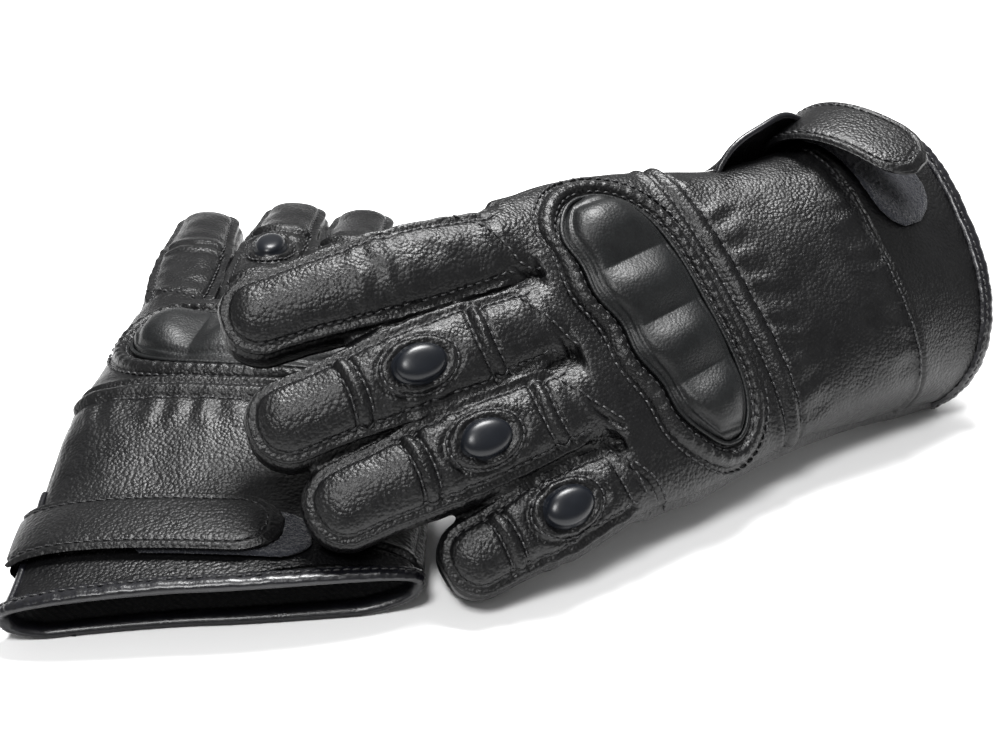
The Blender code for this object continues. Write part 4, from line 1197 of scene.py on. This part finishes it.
# ---------------------------------------------------------------------------------------------------------------
# The palm patch. A second layer of leather sewn over the heel of the hand.

PATCH_ACROSS = (-46.0, 2.0)
PATCH_ALONG = (66.0, 128.0)
PATCH_THICK = 1.2

for glove in GLOVES:
    u, v = np.meshgrid(np.linspace(0, 1, 40), np.linspace(0, 1, 52), indexing="ij")
    x = PATCH_ACROSS[0] + (PATCH_ACROSS[1] - PATCH_ACROSS[0]) * u
    y = PATCH_ALONG[0] + (PATCH_ALONG[1] - PATCH_ALONG[0]) * v
    edge = np.minimum(np.minimum(u, 1 - u) * (PATCH_ACROSS[1] - PATCH_ACROSS[0]),
                      np.minimum(v, 1 - v) * (PATCH_ALONG[1] - PATCH_ALONG[0]))
    sink = np.array([palm_height(glove, a, b) for a, b in zip(x.ravel(), y.ravel())]).reshape(x.shape)
    drop = 0.5 + PATCH_THICK * smooth(edge / 1.2) - 0.4 * bump(edge - 2.8, 0.6)
    z = sink - drop
    z = np.maximum(z, FLOOR_Z + 0.05) if glove.side < 0 else z
    points = np.stack([x, y, z], -1).reshape(-1, 3)
    piece = make_mesh(glove, f"{glove.name}_palm_layer", points, ring_faces(40, 52, False)[:, ::-1], GOATSKIN)
    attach(piece, f"{glove.name}_hand")
    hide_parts(f"{glove.name}_palm_patch")


# ---------------------------------------------------------------------------------------------------------------
# The studio: a pale sweep of paper, one big soft light overhead and behind, a softer one from the front, and the
# camera standing in front of the pair, looking down at about thirty degrees.

CAMERA_DOWN = 29.55
CAMERA_AT = (-0.0118, -0.5383, 0.3246)
CAMERA_LENS = 62.0
FLOOR_REACH = 6.0
AIM = (0.0, 0.0, 0.03)

paper = bpy.data.materials.new("studio_paper")
paper.use_nodes = True
paper.node_tree.nodes["Principled BSDF"].inputs["Base Color"].default_value = linear("#f4f4f4")
paper.node_tree.nodes["Principled BSDF"].inputs["Roughness"].default_value = 0.9
floor_mesh = bpy.data.meshes.new("studio_floor")
floor_mesh.from_pydata([(x * FLOOR_REACH, y * FLOOR_REACH, 0) for x, y in ((-1, -1), (1, -1), (1, 1), (-1, 1))], [],
                       [(0, 1, 2, 3)])
floor_mesh.materials.append(paper)
floor = put("studio_floor", floor_mesh)
floor.location.z = -0.0004

world = bpy.data.worlds.new("studio")
world.use_nodes = True
world.node_tree.nodes["Background"].inputs["Color"].default_value = (1.0, 1.0, 1.0, 1.0)
world.node_tree.nodes["Background"].inputs["Strength"].default_value = 0.34
bpy.context.scene.world = world
bpy.context.scene.view_settings.view_transform = "Standard"


def soft_light(name, place, size, power):
    """A rectangular softbox that points at the pair."""
    light = bpy.data.lights.new(name, "AREA")
    light.shape = "RECTANGLE"
    light.size, light.size_y = size
    light.energy = power
    made = put(name, light)
    made.location = place
    made.rotation_euler = (Vector(AIM) - Vector(place)).to_track_quat("-Z", "Y").to_euler()


soft_light("overhead_softbox", (0.05, 0.35, 1.1), (0.5, 0.35), 30.0)
soft_light("front_softbox", (-0.25, -0.75, 1.2), (0.35, 0.35), 15.0)

camera = put("camera", bpy.data.cameras.new("camera"))
camera.data.lens = CAMERA_LENS
camera.data.sensor_width = 36.0
camera.data.clip_start = 0.01
camera.location = CAMERA_AT
camera.rotation_euler = (math.radians(90.0 - CAMERA_DOWN), 0.0, 0.0)
bpy.context.scene.camera = camera
